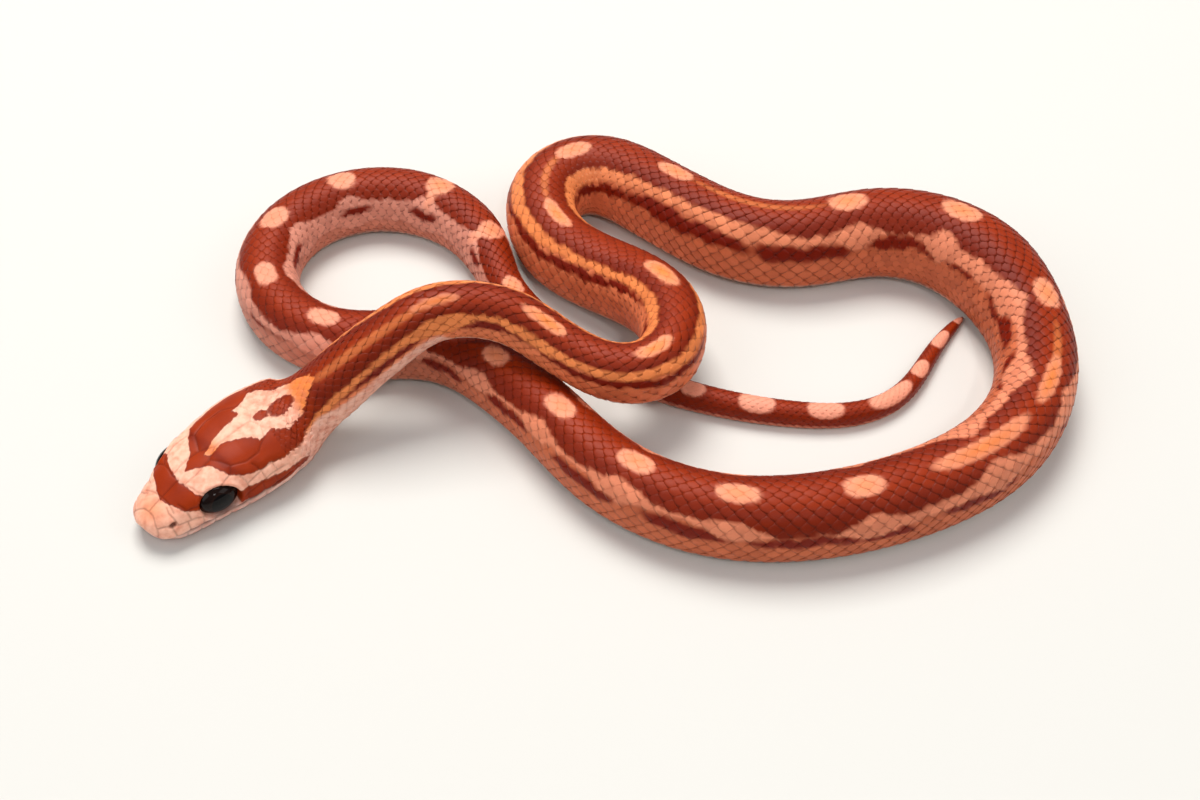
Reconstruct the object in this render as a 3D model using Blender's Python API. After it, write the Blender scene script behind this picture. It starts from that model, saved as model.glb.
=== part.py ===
# Corn snake, a young one at life size, lying on its belly in open bends
#
# One route runs along the belly from the snout to the tip of the tail. Every cross section
# stands on that route, and the animal is cut across into lengths that keep a thin gap.
# Lengths are in millimetres and angles in degrees, and the meshes are written in metres.

import math

import bmesh
import bpy
from mathutils import Vector

METRES = 0.001
OBJECT_NAME = "corn_snake"

# Gap between neighbouring solids
GAP = 0.3

# The route seen from above: each stretch has a length and the angle that it turns to the left
SNOUT_AT = (-42.0, -23.1)
SNOUT_HEADING = 50.0
STRETCHES = (
    ("front of the head", 9.0, 0.0),
    ("jaws and nape", 8.0, -25.0),
    ("neck climbing over the hind body", 12.5, 4.0),
    ("crest of the neck", 12.0, -66.0),
    ("forebody along the tail", 7.0, 18.0),
    ("first hairpin, tight half", 5.5, 90.0),
    ("first hairpin, wide half", 14.0, 73.0),
    ("run between the hairpins", 6.0, -2.0),
    ("second hairpin, near half", 10.5, -60.0),
    ("second hairpin, far half", 10.5, -125.0),
    ("back run", 11.5, 4.0),
    ("shallow bend at the back", 13.5, 62.0),
    ("back corner of the right arc", 16.5, -81.0),
    ("side of the right arc", 28.5, -90.0),
    ("front run", 18.5, -29.0),
    ("front bend", 20.5, -58.0),
    ("run up to the crossing", 14.0, 15.0),
    ("hind body under the neck", 9.0, 52.0),
    ("start of the left loop", 21.5, -113.0),
    ("side of the left loop", 15.0, -83.0),
    ("back of the left loop", 16.0, -72.0),
    ("vent", 5.5, 24.0),
    ("tail under the forebody", 13.0, 21.0),
    ("free tail", 21.5, 30.0),
    ("upturn of the tail", 10.5, 64.0),
    ("tip of the tail", 10.5, -15.0),
)
# Each stretch eases into the next one over this length
EASE = 7.0
TOTAL_LENGTH = sum(length for _, length, _ in STRETCHES)
ROUTE_STEP = 0.25

# Height of the belly above the floor, by the distance from the snout
BELLY_LIFT = (
    (0.0, 0.0),
    (10.0, 0.0),
    (13.0, 0.2),
    (17.0, 0.9),
    (21.0, 2.9),
    (26.0, 6.1),
    (31.5, 8.2),
    (37.0, 7.6),
    (42.0, 6.1),
    (47.0, 5.0),
    (55.0, 3.8),
    (59.0, 2.9),
    (65.0, 1.3),
    (71.0, 0.35),
    (77.0, 0.0),
    (TOTAL_LENGTH, 0.0),
)

# Half width of the body, by the distance from the snout
BODY_HALF_WIDTH = (
    (0.0, 2.9),
    (18.0, 2.9),
    (25.0, 2.75),
    (32.0, 2.5),
    (43.0, 2.4),
    (55.0, 3.05),
    (65.0, 3.55),
    (81.0, 3.75),
    (95.0, 4.05),
    (119.0, 4.2),
    (135.0, 4.45),
    (147.0, 3.8),
    (159.0, 3.7),
    (183.0, 3.55),
    (199.0, 3.35),
    (213.0, 3.2),
    (247.0, 3.15),
    (265.0, 3.2),
    (273.0, 2.9),
    (283.0, 1.95),
    (293.0, 1.6),
    (306.0, 1.35),
    (323.0, 1.1),
    (333.0, 0.85),
    (338.5, 0.55),
    (TOTAL_LENGTH, 0.22),
)
# The back is domed and the belly is broad and flat
CENTRE_HEIGHT = 0.93
BACK_SQUARENESS = 2.1
BELLY_SQUARENESS = 2.6
BELLY_FULLNESS = 1.05

# The head: where it ends, and where its own shape starts to pass into the neck's
HEAD_END = 21.0
NECK_BLEND_START = 16.0
SNOUT_TIP_HEIGHT = 2.2
HEAD_HALF_WIDTH = (
    (0.0, 2.55),
    (1.5, 2.8),
    (4.0, 3.5),
    (6.2, 4.0),
    (8.5, 4.7),
    (11.0, 5.15),
    (13.5, 5.3),
    (16.0, 5.0),
    (18.5, 4.4),
    (HEAD_END, 3.6),
)
CROWN_HEIGHT = (
    (0.0, 3.2),
    (2.0, 3.8),
    (4.0, 4.5),
    (6.2, 5.1),
    (9.0, 5.6),
    (12.0, 5.85),
    (16.0, 5.8),
    (HEAD_END, 5.3),
)
LIP_HEIGHT = (
    (0.0, 1.4),
    (3.0, 1.3),
    (6.2, 1.25),
    (9.0, 1.6),
    (12.0, 2.1),
    (14.5, 2.4),
    (17.0, 2.55),
    (HEAD_END, 2.6),
)
CROWN_SQUARENESS = (
    (0.0, 2.3),
    (4.0, 2.9),
    (6.2, 3.4),
    (9.0, 2.8),
    (13.0, 2.4),
    (HEAD_END, 2.1),
)
# Roundness, seen from above, of the snout; from the side, of its bridge, its lip and the chin
SNOUT_ROUNDING = 1.9
SNOUT_ROUNDNESS = 2.3
BRIDGE_ROUNDING = 2.4
LIP_ROUNDING = 0.6
CHIN_SET_BACK = 0.55
CHIN_ROUNDING = 2.2
JAW_INSET = 0.12

# Line of the mouth, nostrils, brows, and the hollow between nostril and eye
MOUTH_CORNER = 13.6
MOUTH_LINE_RADIUS = 0.16
MOUTH_LINE_STEPS = 34
MOUTH_LINE_CROWDING = 1.8
NOSTRIL_AT = 1.6
NOSTRIL_ANGLE = 32.0
NOSTRIL_RADIUS = 0.3
BROW_AT = 6.3
BROW_ANGLE = 58.0
BROW_RISE = 0.2
BROW_REACH = 2.4
BROW_SPREAD = 15.0
LOREAL_AT = 3.4
LOREAL_ANGLE = 28.0
LOREAL_HOLLOW = 0.16
LOREAL_REACH = 1.3
LOREAL_SPREAD = 16.0

# Eyes: half of their length, height and depth, and how far they are turned forward
EYE_AT = 6.1
EYE_HALF_LENGTH = 1.9
EYE_HALF_HEIGHT = 1.42
EYE_HALF_DEPTH = 1.6
EYE_SIDE = 2.6
EYE_HEIGHT = 2.95
EYE_TOE_IN = 12.0

# How the animal is cut into lengths, each one short and not much bent
NECK_END = 45.0
VENT_AT = 283.0
LONGEST_CUT = 13.0
MOST_TURN = 48.0

# Fineness of the meshes
RING_SPACING = 2.6
RING_TURN = 14.0
BODY_SIDES = 20
TAIL_SIDES = 14
HEAD_SIDES = 40
HEAD_RINGS = 32
HEAD_RING_EVENNESS = 0.35
HEAD_RING_CROWDING = 2.2
EYE_SIDES = 20
NOSTRIL_SIDES = 8
SLOPE_REACH = 0.1
LIP_EDGE = 0.001
WELD_DISTANCE = 0.01
SHARP_EDGE = 35.0

BRICK = (0.36, 0.06, 0.02, 1.0)
NECK_BROWN = (0.42, 0.09, 0.03, 1.0)
TAIL_RED = (0.40, 0.08, 0.04, 1.0)
HEAD_PINK = (0.72, 0.34, 0.20, 1.0)
EYE_BLACK = (0.02, 0.01, 0.01, 1.0)
SKIN_ROUGHNESS = 0.42
EYE_ROUGHNESS = 0.1


def smooth(value):
    """A step from 0 to 1 that starts and ends level."""
    value = min(max(value, 0.0), 1.0)
    return value * value * (3.0 - 2.0 * value)


def glide(stations, at):
    """A smooth curve through stations that doesn't swing past them."""
    if at <= stations[0][0]:
        return stations[0][1]
    if at >= stations[-1][0]:
        return stations[-1][1]
    slopes = [
        (stations[i + 1][1] - stations[i][1]) / (stations[i + 1][0] - stations[i][0])
        for i in range(len(stations) - 1)
    ]
    index = max(i for i in range(len(slopes)) if stations[i][0] <= at)

    def tangent(i):
        if i == 0 or i == len(slopes):
            return slopes[min(i, len(slopes) - 1)]
        before, after = slopes[i - 1], slopes[i]
        if before * after <= 0.0:
            return 0.0
        return 2.0 * before * after / (before + after)

    start, first = stations[index]
    end, last = stations[index + 1]
    span = end - start
    u = (at - start) / span
    return (
        (2 * u ** 3 - 3 * u ** 2 + 1) * first
        + (u ** 3 - 2 * u ** 2 + u) * span * tangent(index)
        + (3 * u ** 2 - 2 * u ** 3) * last
        + (u ** 3 - u ** 2) * span * tangent(index + 1)
    )


def dome(distance, reach, power):
    """Rises from 0 to 1 over reach like the round end of a rod."""
    u = min(max(distance / reach, 0.0), 1.0)
    return (1.0 - (1.0 - u) ** power) ** (1.0 / power)


def eased_run(distance):
    """Distance run past a point, taken up gradually over the easing length."""
    half = EASE / 2
    if distance <= -half:
        return 0.0
    if distance >= half:
        return distance
    return (distance + half) ** 2 / (2 * EASE)


def heading_at(at):
    """Direction of the route, from the snout towards the tail, in radians."""
    heading = SNOUT_HEADING
    start = 0.0
    for _, length, turn in STRETCHES:
        heading += turn / length * (eased_run(at - start) - eased_run(at - start - length))
        start += length
    return math.radians(heading)


def trace_route():
    """Places along the belly, seen from above, one for each small step."""
    places = [Vector((SNOUT_AT[0], SNOUT_AT[1]))]
    steps = round(TOTAL_LENGTH / ROUTE_STEP)
    for step in range(steps):
        heading = heading_at((step + 0.5) * ROUTE_STEP)
        places.append(places[-1] + ROUTE_STEP * Vector((math.cos(heading), math.sin(heading))))
    return places


ROUTE = trace_route()


def frame_at(at):
    """Belly point, direction to the tail, the animal's left, and up, at a distance from the snout."""
    step = min(int(at / ROUTE_STEP), len(ROUTE) - 2)
    flat = ROUTE[step].lerp(ROUTE[step + 1], at / ROUTE_STEP - step)
    heading = heading_at(at)
    rise = glide(BELLY_LIFT, at + SLOPE_REACH) - glide(BELLY_LIFT, at - SLOPE_REACH)
    pitch = math.atan2(rise, 2.0 * SLOPE_REACH)
    along = Vector((
        math.cos(heading) * math.cos(pitch),
        math.sin(heading) * math.cos(pitch),
        math.sin(pitch),
    ))
    left = Vector((math.sin(heading), -math.cos(heading), 0.0))
    up = left.cross(along)
    point = Vector((flat.x, flat.y, glide(BELLY_LIFT, at)))
    return point, along, left, up


def signed_power(value, power):
    return math.copysign(abs(value) ** power, value)


def body_section(at, angle):
    """Offset to the left and height above the belly line of the trunk, neck or tail."""
    half_width = glide(BODY_HALF_WIDTH, at)
    side = math.cos(angle)
    rise = math.sin(angle)
    power = 2.0 / (BACK_SQUARENESS if rise >= 0.0 else BELLY_SQUARENESS)
    left = half_width * signed_power(side, power)
    if rise >= 0.0:
        height = half_width * (CENTRE_HEIGHT + rise ** power)
    else:
        height = half_width * (CENTRE_HEIGHT - BELLY_FULLNESS * abs(rise) ** power)
    return left, max(height, 0.0)


def bump(at, angle, centre, centre_angle, reach, spread):
    """A soft swelling on the head, given on both sides."""
    turn = math.degrees(angle)
    nearest = min(abs(turn - centre_angle), abs(turn - (180.0 - centre_angle)))
    return math.exp(-((at - centre) / reach) ** 2 - (nearest / spread) ** 2)


def head_section(at, angle):
    """Offset to the left and height above the belly line of the head."""
    half_width = glide(HEAD_HALF_WIDTH, at) * dome(at, SNOUT_ROUNDING, SNOUT_ROUNDNESS)
    tip = SNOUT_TIP_HEIGHT
    lip = tip + (glide(LIP_HEIGHT, at) - tip) * dome(at, LIP_ROUNDING, 2.0)
    crown = tip + (glide(CROWN_HEIGHT, at) - tip) * dome(at, BRIDGE_ROUNDING, 2.0)
    side = math.cos(angle)
    rise = math.sin(angle)
    if rise >= 0.0:
        power = 2.0 / glide(CROWN_SQUARENESS, at)
        half_width += BROW_RISE * bump(at, angle, BROW_AT, BROW_ANGLE, BROW_REACH, BROW_SPREAD)
        half_width -= LOREAL_HOLLOW * bump(at, angle, LOREAL_AT, LOREAL_ANGLE, LOREAL_REACH, LOREAL_SPREAD)
        return half_width * signed_power(side, power), lip + (crown - lip) * rise ** power
    behind_chin = at - CHIN_SET_BACK
    chin = dome(behind_chin, CHIN_ROUNDING, 2.0)
    power = 2.0 / BELLY_SQUARENESS
    jaw_width = max(half_width - JAW_INSET, 0.0) * dome(behind_chin, SNOUT_ROUNDING, SNOUT_ROUNDNESS)
    depth = lip * chin * BELLY_FULLNESS * abs(rise) ** power
    return jaw_width * signed_power(side, power), max(lip - depth, lip * (1.0 - chin))


def section(at, angle):
    """Head shape at the front, body shape behind, and a blend of the two at the nape."""
    if at >= HEAD_END:
        return body_section(at, angle)
    blend = smooth((at - NECK_BLEND_START) / (HEAD_END - NECK_BLEND_START))
    head_left, head_height = head_section(at, angle)
    body_left, body_height = body_section(at, angle)
    return (
        head_left + (body_left - head_left) * blend,
        head_height + (body_height - head_height) * blend,
    )


def surface_point(at, angle, shift=0.0):
    """Point on the skin, in metres, moved along the route's direction by shift."""
    point, along, left, up = frame_at(at)
    offset, height = section(at, angle)
    return (point + along * shift + left * offset + up * height) * METRES


def ring_angles(sides):
    return [2.0 * math.pi * i / sides for i in range(sides)]


def new_object(name, mesh, colour, roughness):
    material = bpy.data.materials.new(name + "_skin")
    material.use_nodes = True
    shader = material.node_tree.nodes["Principled BSDF"]
    shader.inputs["Base Color"].default_value = colour
    shader.inputs["Roughness"].default_value = roughness
    shader.inputs["Metallic"].default_value = 0.0
    mesh.materials.append(material)
    node = bpy.data.objects.new(name, mesh)
    return node


def loft(name, rings):
    """Closed mesh through rings of points, where a ring of one point is a rounded end."""
    work = bmesh.new()
    rows = [[work.verts.new(point) for point in ring] for ring in rings]
    for row, following in zip(rows, rows[1:]):
        if len(row) == 1 or len(following) == 1:
            tip = row[0] if len(row) == 1 else following[0]
            around = following if len(row) == 1 else row
            for i in range(len(around)):
                work.faces.new((tip, around[i], around[(i + 1) % len(around)]))
            continue
        for i in range(len(row)):
            j = (i + 1) % len(row)
            work.faces.new((row[i], row[j], following[j], following[i]))
    for row in (rows[0], rows[-1]):
        if len(row) > 2:
            work.faces.new(row)
    bmesh.ops.triangulate(work, faces=[face for face in work.faces if len(face.verts) > 4])
    bmesh.ops.recalc_face_normals(work, faces=work.faces)
    mesh = bpy.data.meshes.new(name)
    work.to_mesh(mesh)
    work.free()
    return mesh


def turn_between(begin, end):
    """Degrees that the route turns between two distances, to either side."""
    steps = max(round((end - begin) / ROUTE_STEP), 1)
    places = [begin + (end - begin) * i / steps for i in range(steps + 1)]
    return sum(
        abs(math.degrees(heading_at(there) - heading_at(here))) for here, there in zip(places, places[1:])
    )


def cut_places():
    """Distances from the snout of the cuts, closer together where the animal bends more."""
    cuts = [HEAD_END]
    for end in (NECK_END, VENT_AT, TOTAL_LENGTH):
        begin = cuts[-1]
        steps = round((end - begin) / ROUTE_STEP)
        places = [begin + (end - begin) * i / steps for i in range(steps + 1)]
        filled = [0.0]
        for here, there in zip(places, places[1:]):
            share = max((there - here) / LONGEST_CUT, turn_between(here, there) / MOST_TURN)
            filled.append(filled[-1] + share)
        count = math.ceil(filled[-1])
        for number in range(1, count):
            goal = filled[-1] * number / count
            cuts.append(next(place for place, amount in zip(places, filled) if amount >= goal))
        cuts.append(end)
    return cuts


def body_length(name, begin, end, sides, colour, last):
    """One length of the animal between two cuts, each end half a gap short of its cut."""
    by_length = math.ceil((end - begin) / RING_SPACING)
    by_turn = math.ceil(turn_between(begin, end) / RING_TURN)
    count = max(by_length, by_turn, 2)
    rings = []
    for i in range(count + 1):
        at = begin + (end - begin) * i / count
        shift = 0.0
        if i == 0:
            shift = GAP / 2
        elif i == count and not last:
            shift = -GAP / 2
        rings.append([surface_point(at, angle, shift) for angle in ring_angles(sides)])
    return new_object(name, loft(name, rings), colour, SKIN_ROUGHNESS)


def head_shell():
    """The head and lower jaw as one loft with a rounded snout, its rings closer at the front."""
    rings = [[surface_point(0.0, 0.0)]]
    for i in range(1, HEAD_RINGS + 1):
        u = i / HEAD_RINGS
        at = HEAD_END * (HEAD_RING_EVENNESS * u + (1.0 - HEAD_RING_EVENNESS) * u ** HEAD_RING_CROWDING)
        shift = -GAP / 2 if i == HEAD_RINGS else 0.0
        rings.append([surface_point(at, angle, shift) for angle in ring_angles(HEAD_SIDES)])
    return new_object("head", loft("head", rings), HEAD_PINK, SKIN_ROUGHNESS)


def ball(name, centre, axes, sides):
    """An egg shape round a centre, given by its three half axes."""
    work = bmesh.new()
    bmesh.ops.create_uvsphere(work, u_segments=sides, v_segments=sides // 2 + 1, radius=1.0)
    for vert in work.verts:
        x, y, z = vert.co
        vert.co = centre + axes[0] * x + axes[1] * y + axes[2] * z
    work.normal_update()
    bmesh.ops.recalc_face_normals(work, faces=work.faces)
    bmesh.ops.scale(work, vec=(METRES, METRES, METRES), verts=work.verts)
    mesh = bpy.data.meshes.new(name)
    work.to_mesh(mesh)
    work.free()
    return mesh


def eye_ball(name, side, margin):
    """The eyeball of one side, made larger by a margin for its socket."""
    point, along, left, up = frame_at(EYE_AT)
    outward = left * side
    toe_in = math.radians(EYE_TOE_IN)
    pointing = outward * math.cos(toe_in) - along * math.sin(toe_in)
    lengthwise = along * math.cos(toe_in) + outward * math.sin(toe_in)
    axes = (
        lengthwise * (EYE_HALF_LENGTH + margin),
        pointing * (EYE_HALF_DEPTH + margin),
        up * (EYE_HALF_HEIGHT + margin),
    )
    centre = point + outward * EYE_SIDE + up * EYE_HEIGHT
    return ball(name, centre, axes, EYE_SIDES)


def nostril_ball(name, side):
    """A small ball whose middle lies in the skin of the snout."""
    angle = math.radians(NOSTRIL_ANGLE if side > 0.0 else 180.0 - NOSTRIL_ANGLE)
    _, along, left, up = frame_at(NOSTRIL_AT)
    axes = (along * NOSTRIL_RADIUS, left * NOSTRIL_RADIUS, up * NOSTRIL_RADIUS)
    return ball(name, surface_point(NOSTRIL_AT, angle) / METRES, axes, NOSTRIL_SIDES)


def mouth_line():
    """A thin tube under the edge of the upper lip, from one corner of the mouth to the other."""
    stations = []
    for i in range(MOUTH_LINE_STEPS + 1):
        u = 2.0 * i / MOUTH_LINE_STEPS - 1.0
        at = CHIN_SET_BACK + (MOUTH_CORNER - CHIN_SET_BACK) * abs(u) ** MOUTH_LINE_CROWDING
        offset, height = section(at, -LIP_EDGE)
        side = (u > 0.0) - (u < 0.0)
        point, _, left, up = frame_at(at)
        stations.append((point + left * offset * side + up * height) * METRES)
    curve = bpy.data.curves.new("mouth_line", "CURVE")
    curve.dimensions = "3D"
    curve.bevel_depth = MOUTH_LINE_RADIUS * METRES
    curve.bevel_resolution = 1
    curve.use_fill_caps = True
    spline = curve.splines.new("POLY")
    spline.points.add(len(stations) - 1)
    for knot, place in zip(spline.points, stations):
        knot.co = (*place, 1.0)
    return bpy.data.objects.new("mouth_line", curve)


def as_closed_mesh(tube, collection):
    """The curve made a closed mesh object in its collection."""
    collection.objects.link(tube)
    evaluated = tube.evaluated_get(bpy.context.evaluated_depsgraph_get())
    mesh = bpy.data.meshes.new_from_object(evaluated)
    work = bmesh.new()
    work.from_mesh(mesh)
    bmesh.ops.remove_doubles(work, verts=work.verts, dist=WELD_DISTANCE * METRES)
    bmesh.ops.recalc_face_normals(work, faces=work.faces)
    work.to_mesh(mesh)
    work.free()
    name = tube.name
    bpy.data.objects.remove(tube)
    cutter = bpy.data.objects.new(name, mesh)
    collection.objects.link(cutter)
    return cutter


def hide_cutter(cutter):
    """Kept out of sight, because it only shapes the head."""
    cutter.hide_render = True
    cutter.display_type = "WIRE"


def shade(node):
    node.data.shade_smooth()
    node.data.set_sharp_from_angle(angle=math.radians(SHARP_EDGE))


for old in list(bpy.data.objects):
    bpy.data.objects.remove(old)

parts = bpy.data.collections.new(OBJECT_NAME)
cutters = bpy.data.collections.new(OBJECT_NAME + "_cutters")
bpy.context.scene.collection.children.link(parts)
bpy.context.scene.collection.children.link(cutters)

# Eyes: a ball on each side, sunk in its socket, and a nostril in front of each
for side, side_name in ((1.0, "left"), (-1.0, "right")):
    name = "eye_" + side_name
    eye = new_object(name, eye_ball(name, side, 0.0), EYE_BLACK, EYE_ROUGHNESS)
    parts.objects.link(eye)
    shade(eye)
    for cutter_name, mesh in (
        ("socket_" + side_name, eye_ball("socket_" + side_name, side, GAP)),
        ("nostril_" + side_name, nostril_ball("nostril_" + side_name, side)),
    ):
        cutter = bpy.data.objects.new(cutter_name, mesh)
        cutters.objects.link(cutter)
        hide_cutter(cutter)

hide_cutter(as_closed_mesh(mouth_line(), cutters))

# Head: the shell with its sockets, nostrils and line of the mouth cut in
head = head_shell()
parts.objects.link(head)
carving = head.modifiers.new("carving", "BOOLEAN")
carving.operation = "DIFFERENCE"
carving.operand_type = "COLLECTION"
carving.collection = cutters
carving.solver = "EXACT"
shade(head)

# Neck, body and tail, in lengths
colours = {"neck": NECK_BROWN, "body": BRICK, "tail": TAIL_RED}
cuts = cut_places()
numbers = dict.fromkeys(colours, 0)
for begin, end in zip(cuts, cuts[1:]):
    if begin < NECK_END:
        part = "neck"
    elif begin < VENT_AT:
        part = "body"
    else:
        part = "tail"
    numbers[part] += 1
    sides = TAIL_SIDES if part == "tail" else BODY_SIDES
    is_last = end == cuts[-1]
    node = body_length(f"{part}_{numbers[part]:02d}", begin, end, sides, colours[part], is_last)
    parts.objects.link(node)
    shade(node)
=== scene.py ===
import math

import bmesh
import bpy
import numpy as np
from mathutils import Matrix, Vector


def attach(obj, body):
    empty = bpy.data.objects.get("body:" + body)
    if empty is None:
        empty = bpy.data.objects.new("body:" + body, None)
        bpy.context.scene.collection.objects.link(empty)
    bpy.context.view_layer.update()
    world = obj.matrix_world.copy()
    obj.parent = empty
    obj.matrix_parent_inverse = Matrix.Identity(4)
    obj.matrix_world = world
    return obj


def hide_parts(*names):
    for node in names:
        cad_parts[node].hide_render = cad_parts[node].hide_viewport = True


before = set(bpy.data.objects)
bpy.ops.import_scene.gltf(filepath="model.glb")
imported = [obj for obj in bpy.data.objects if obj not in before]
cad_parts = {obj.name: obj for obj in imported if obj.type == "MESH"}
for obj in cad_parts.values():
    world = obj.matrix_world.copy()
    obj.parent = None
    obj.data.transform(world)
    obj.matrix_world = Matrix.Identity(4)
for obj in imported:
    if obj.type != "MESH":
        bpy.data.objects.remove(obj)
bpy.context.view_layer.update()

# Lie of the animal: a young corn snake at life size, resting on its belly in open bends.
# One route follows the belly from the snout to the tip of the tail, and every cross
# section stands on it. Lengths are in millimetres until a mesh is written, in metres.
METRES = 0.001
SNOUT_AT = (-42.0, -23.1)
SNOUT_HEADING = 50.0
# length of each stretch, and the angle that it turns to the left
STRETCHES = (
    ("front of the head", 9.0, 0.0),
    ("jaws and nape", 8.0, -25.0),
    ("neck climbing over the hind body", 12.5, 4.0),
    ("crest of the neck", 12.0, -66.0),
    ("forebody along the tail", 7.0, 18.0),
    ("first hairpin, tight half", 5.5, 90.0),
    ("first hairpin, wide half", 14.0, 73.0),
    ("run between the hairpins", 6.0, -2.0),
    ("second hairpin, near half", 10.5, -60.0),
    ("second hairpin, far half", 10.5, -125.0),
    ("back run", 11.5, 4.0),
    ("shallow bend at the back", 13.5, 62.0),
    ("back corner of the right arc", 16.5, -81.0),
    ("side of the right arc", 28.5, -90.0),
    ("front run", 18.5, -29.0),
    ("front bend", 20.5, -58.0),
    ("run up to the crossing", 14.0, 15.0),
    ("hind body under the neck", 9.0, 52.0),
    ("start of the left loop", 21.5, -113.0),
    ("side of the left loop", 15.0, -83.0),
    ("back of the left loop", 16.0, -72.0),
    ("vent", 5.5, 24.0),
    ("tail under the forebody", 13.0, 21.0),
    ("free tail", 21.5, 30.0),
    ("upturn of the tail", 10.5, 64.0),
    ("tip of the tail", 10.5, -15.0),
)
EASE = 7.0
TOTAL_LENGTH = sum(length for _, length, _ in STRETCHES)
BELLY_LIFT = (
    (0.0, 0.0), (10.0, 0.0), (13.0, 0.2), (17.0, 0.9), (21.0, 2.9), (26.0, 6.1), (31.5, 8.2),
    (37.0, 7.6), (42.0, 6.1), (47.0, 5.0), (55.0, 3.8), (59.0, 2.9), (65.0, 1.3), (71.0, 0.35),
    (77.0, 0.0), (TOTAL_LENGTH, 0.0),
)
BODY_HALF_WIDTH = (
    (0.0, 2.9), (18.0, 2.9), (25.0, 2.75), (32.0, 2.5), (43.0, 2.4), (55.0, 3.05), (65.0, 3.55),
    (81.0, 3.75), (95.0, 4.05), (119.0, 4.2), (135.0, 4.45), (147.0, 3.8), (159.0, 3.7),
    (183.0, 3.55), (199.0, 3.35), (213.0, 3.2), (247.0, 3.15), (265.0, 3.2), (273.0, 2.9),
    (283.0, 1.95), (293.0, 1.6), (306.0, 1.35), (323.0, 1.1), (333.0, 0.85), (338.5, 0.55),
    (TOTAL_LENGTH, 0.22),
)
CENTRE_HEIGHT = 0.93
BACK_SQUARENESS = 2.1
BELLY_SQUARENESS = 2.6
BELLY_FULLNESS = 1.05
HEAD_END = 21.0
NECK_BLEND_START = 16.0
SNOUT_TIP_HEIGHT = 2.2
HEAD_HALF_WIDTH = (
    (0.0, 2.55), (1.5, 2.8), (4.0, 3.5), (6.2, 4.0), (8.5, 4.7), (11.0, 5.15), (13.5, 5.3),
    (16.0, 5.0), (18.5, 4.4), (HEAD_END, 3.6),
)
CROWN_HEIGHT = (
    (0.0, 3.2), (2.0, 3.8), (4.0, 4.5), (6.2, 5.1), (9.0, 5.6), (12.0, 5.85), (16.0, 5.8),
    (HEAD_END, 5.3),
)
LIP_HEIGHT = (
    (0.0, 1.4), (3.0, 1.3), (6.2, 1.25), (9.0, 1.6), (12.0, 2.1), (14.5, 2.4), (17.0, 2.55),
    (HEAD_END, 2.6),
)
CROWN_SQUARENESS = ((0.0, 2.3), (4.0, 2.9), (6.2, 3.4), (9.0, 2.8), (13.0, 2.4), (HEAD_END, 2.1))
SNOUT_ROUNDING = 1.9
SNOUT_ROUNDNESS = 2.3
BRIDGE_ROUNDING = 2.4
LIP_ROUNDING = 0.6
CHIN_SET_BACK = 0.55
CHIN_ROUNDING = 2.2
JAW_INSET = 0.12
# soft rise over the eyes and hollow in front of them: place, angle up the side, reach, spread
BROW = (6.3, 58.0, 2.4, 15.0)
BROW_RISE = 0.2
LOREAL = (3.4, 28.0, 1.3, 16.0)
LOREAL_SINK = 0.16
ROUTE_KNOTS = 6811
HEAD_KNOTS = 220
HEAD_KNOTS_END = 22.0
KNOT_STEP = 0.25
ANGLE_KNOTS = 1441
GIRTH_KNOTS = 257
FAR_AWAY = 9.0


def smooth(value):
    """A step from 0 to 1 that starts and ends level."""
    value = np.clip(value, 0.0, 1.0)
    return value * value * (3.0 - 2.0 * value)


def glide(stations, at):
    """A smooth curve through stations that doesn't swing past them."""
    place, value = np.array(stations, float).T
    slope = np.diff(value) / np.diff(place)
    tangent = np.concatenate((slope[:1], np.zeros(len(slope) - 1), slope[-1:]))
    same_way = slope[1:] * slope[:-1] > 0.0
    inner = 2.0 * slope[1:] * slope[:-1] / np.where(same_way, slope[1:] + slope[:-1], 1.0)
    tangent[1:-1] = np.where(same_way, inner, 0.0)
    at = np.clip(at, place[0], place[-1])
    i = np.clip(np.searchsorted(place, at, side="right") - 1, 0, len(slope) - 1)
    span = place[i + 1] - place[i]
    u = (at - place[i]) / span
    start = (2 * u ** 3 - 3 * u ** 2 + 1) * value[i] + (u ** 3 - 2 * u ** 2 + u) * span * tangent[i]
    end = (3 * u ** 2 - 2 * u ** 3) * value[i + 1] + (u ** 3 - u ** 2) * span * tangent[i + 1]
    return start + end


def change(at, start, length):
    """0 before the start of a change along the body, and 1 after its end."""
    return smooth((at - start) / length)


def dome(distance, reach, power):
    """Rises from 0 to 1 over reach like the round end of a rod."""
    u = np.clip(distance / reach, 0.0, 1.0)
    return (1.0 - (1.0 - u) ** power) ** (1.0 / power)


def heading_at(at):
    """Direction of the route, from the snout towards the tail, in radians."""
    heading = SNOUT_HEADING
    start = 0.0

    def eased_run(distance):
        eased = (np.clip(distance, -EASE / 2, EASE / 2) + EASE / 2) ** 2 / (2 * EASE)
        return np.where(distance >= EASE / 2, distance, eased)

    for _, length, turn in STRETCHES:
        heading = heading + turn / length * (eased_run(at - start) - eased_run(at - start - length))
        start += length
    return np.radians(heading)


def signed_power(value, power):
    return np.sign(value) * np.abs(value) ** power


def body_section(at, angle):
    """Offset to the left and height above the belly line of the trunk, neck or tail."""
    half_width = glide(BODY_HALF_WIDTH, at)
    side, rise = np.cos(angle), np.sin(angle)
    power = np.where(rise >= 0.0, 2.0 / BACK_SQUARENESS, 2.0 / BELLY_SQUARENESS)
    reach = np.where(rise >= 0.0, 1.0, BELLY_FULLNESS)
    height = half_width * (CENTRE_HEIGHT + reach * signed_power(rise, power))
    return half_width * signed_power(side, power), np.maximum(height, 0.0)


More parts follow.
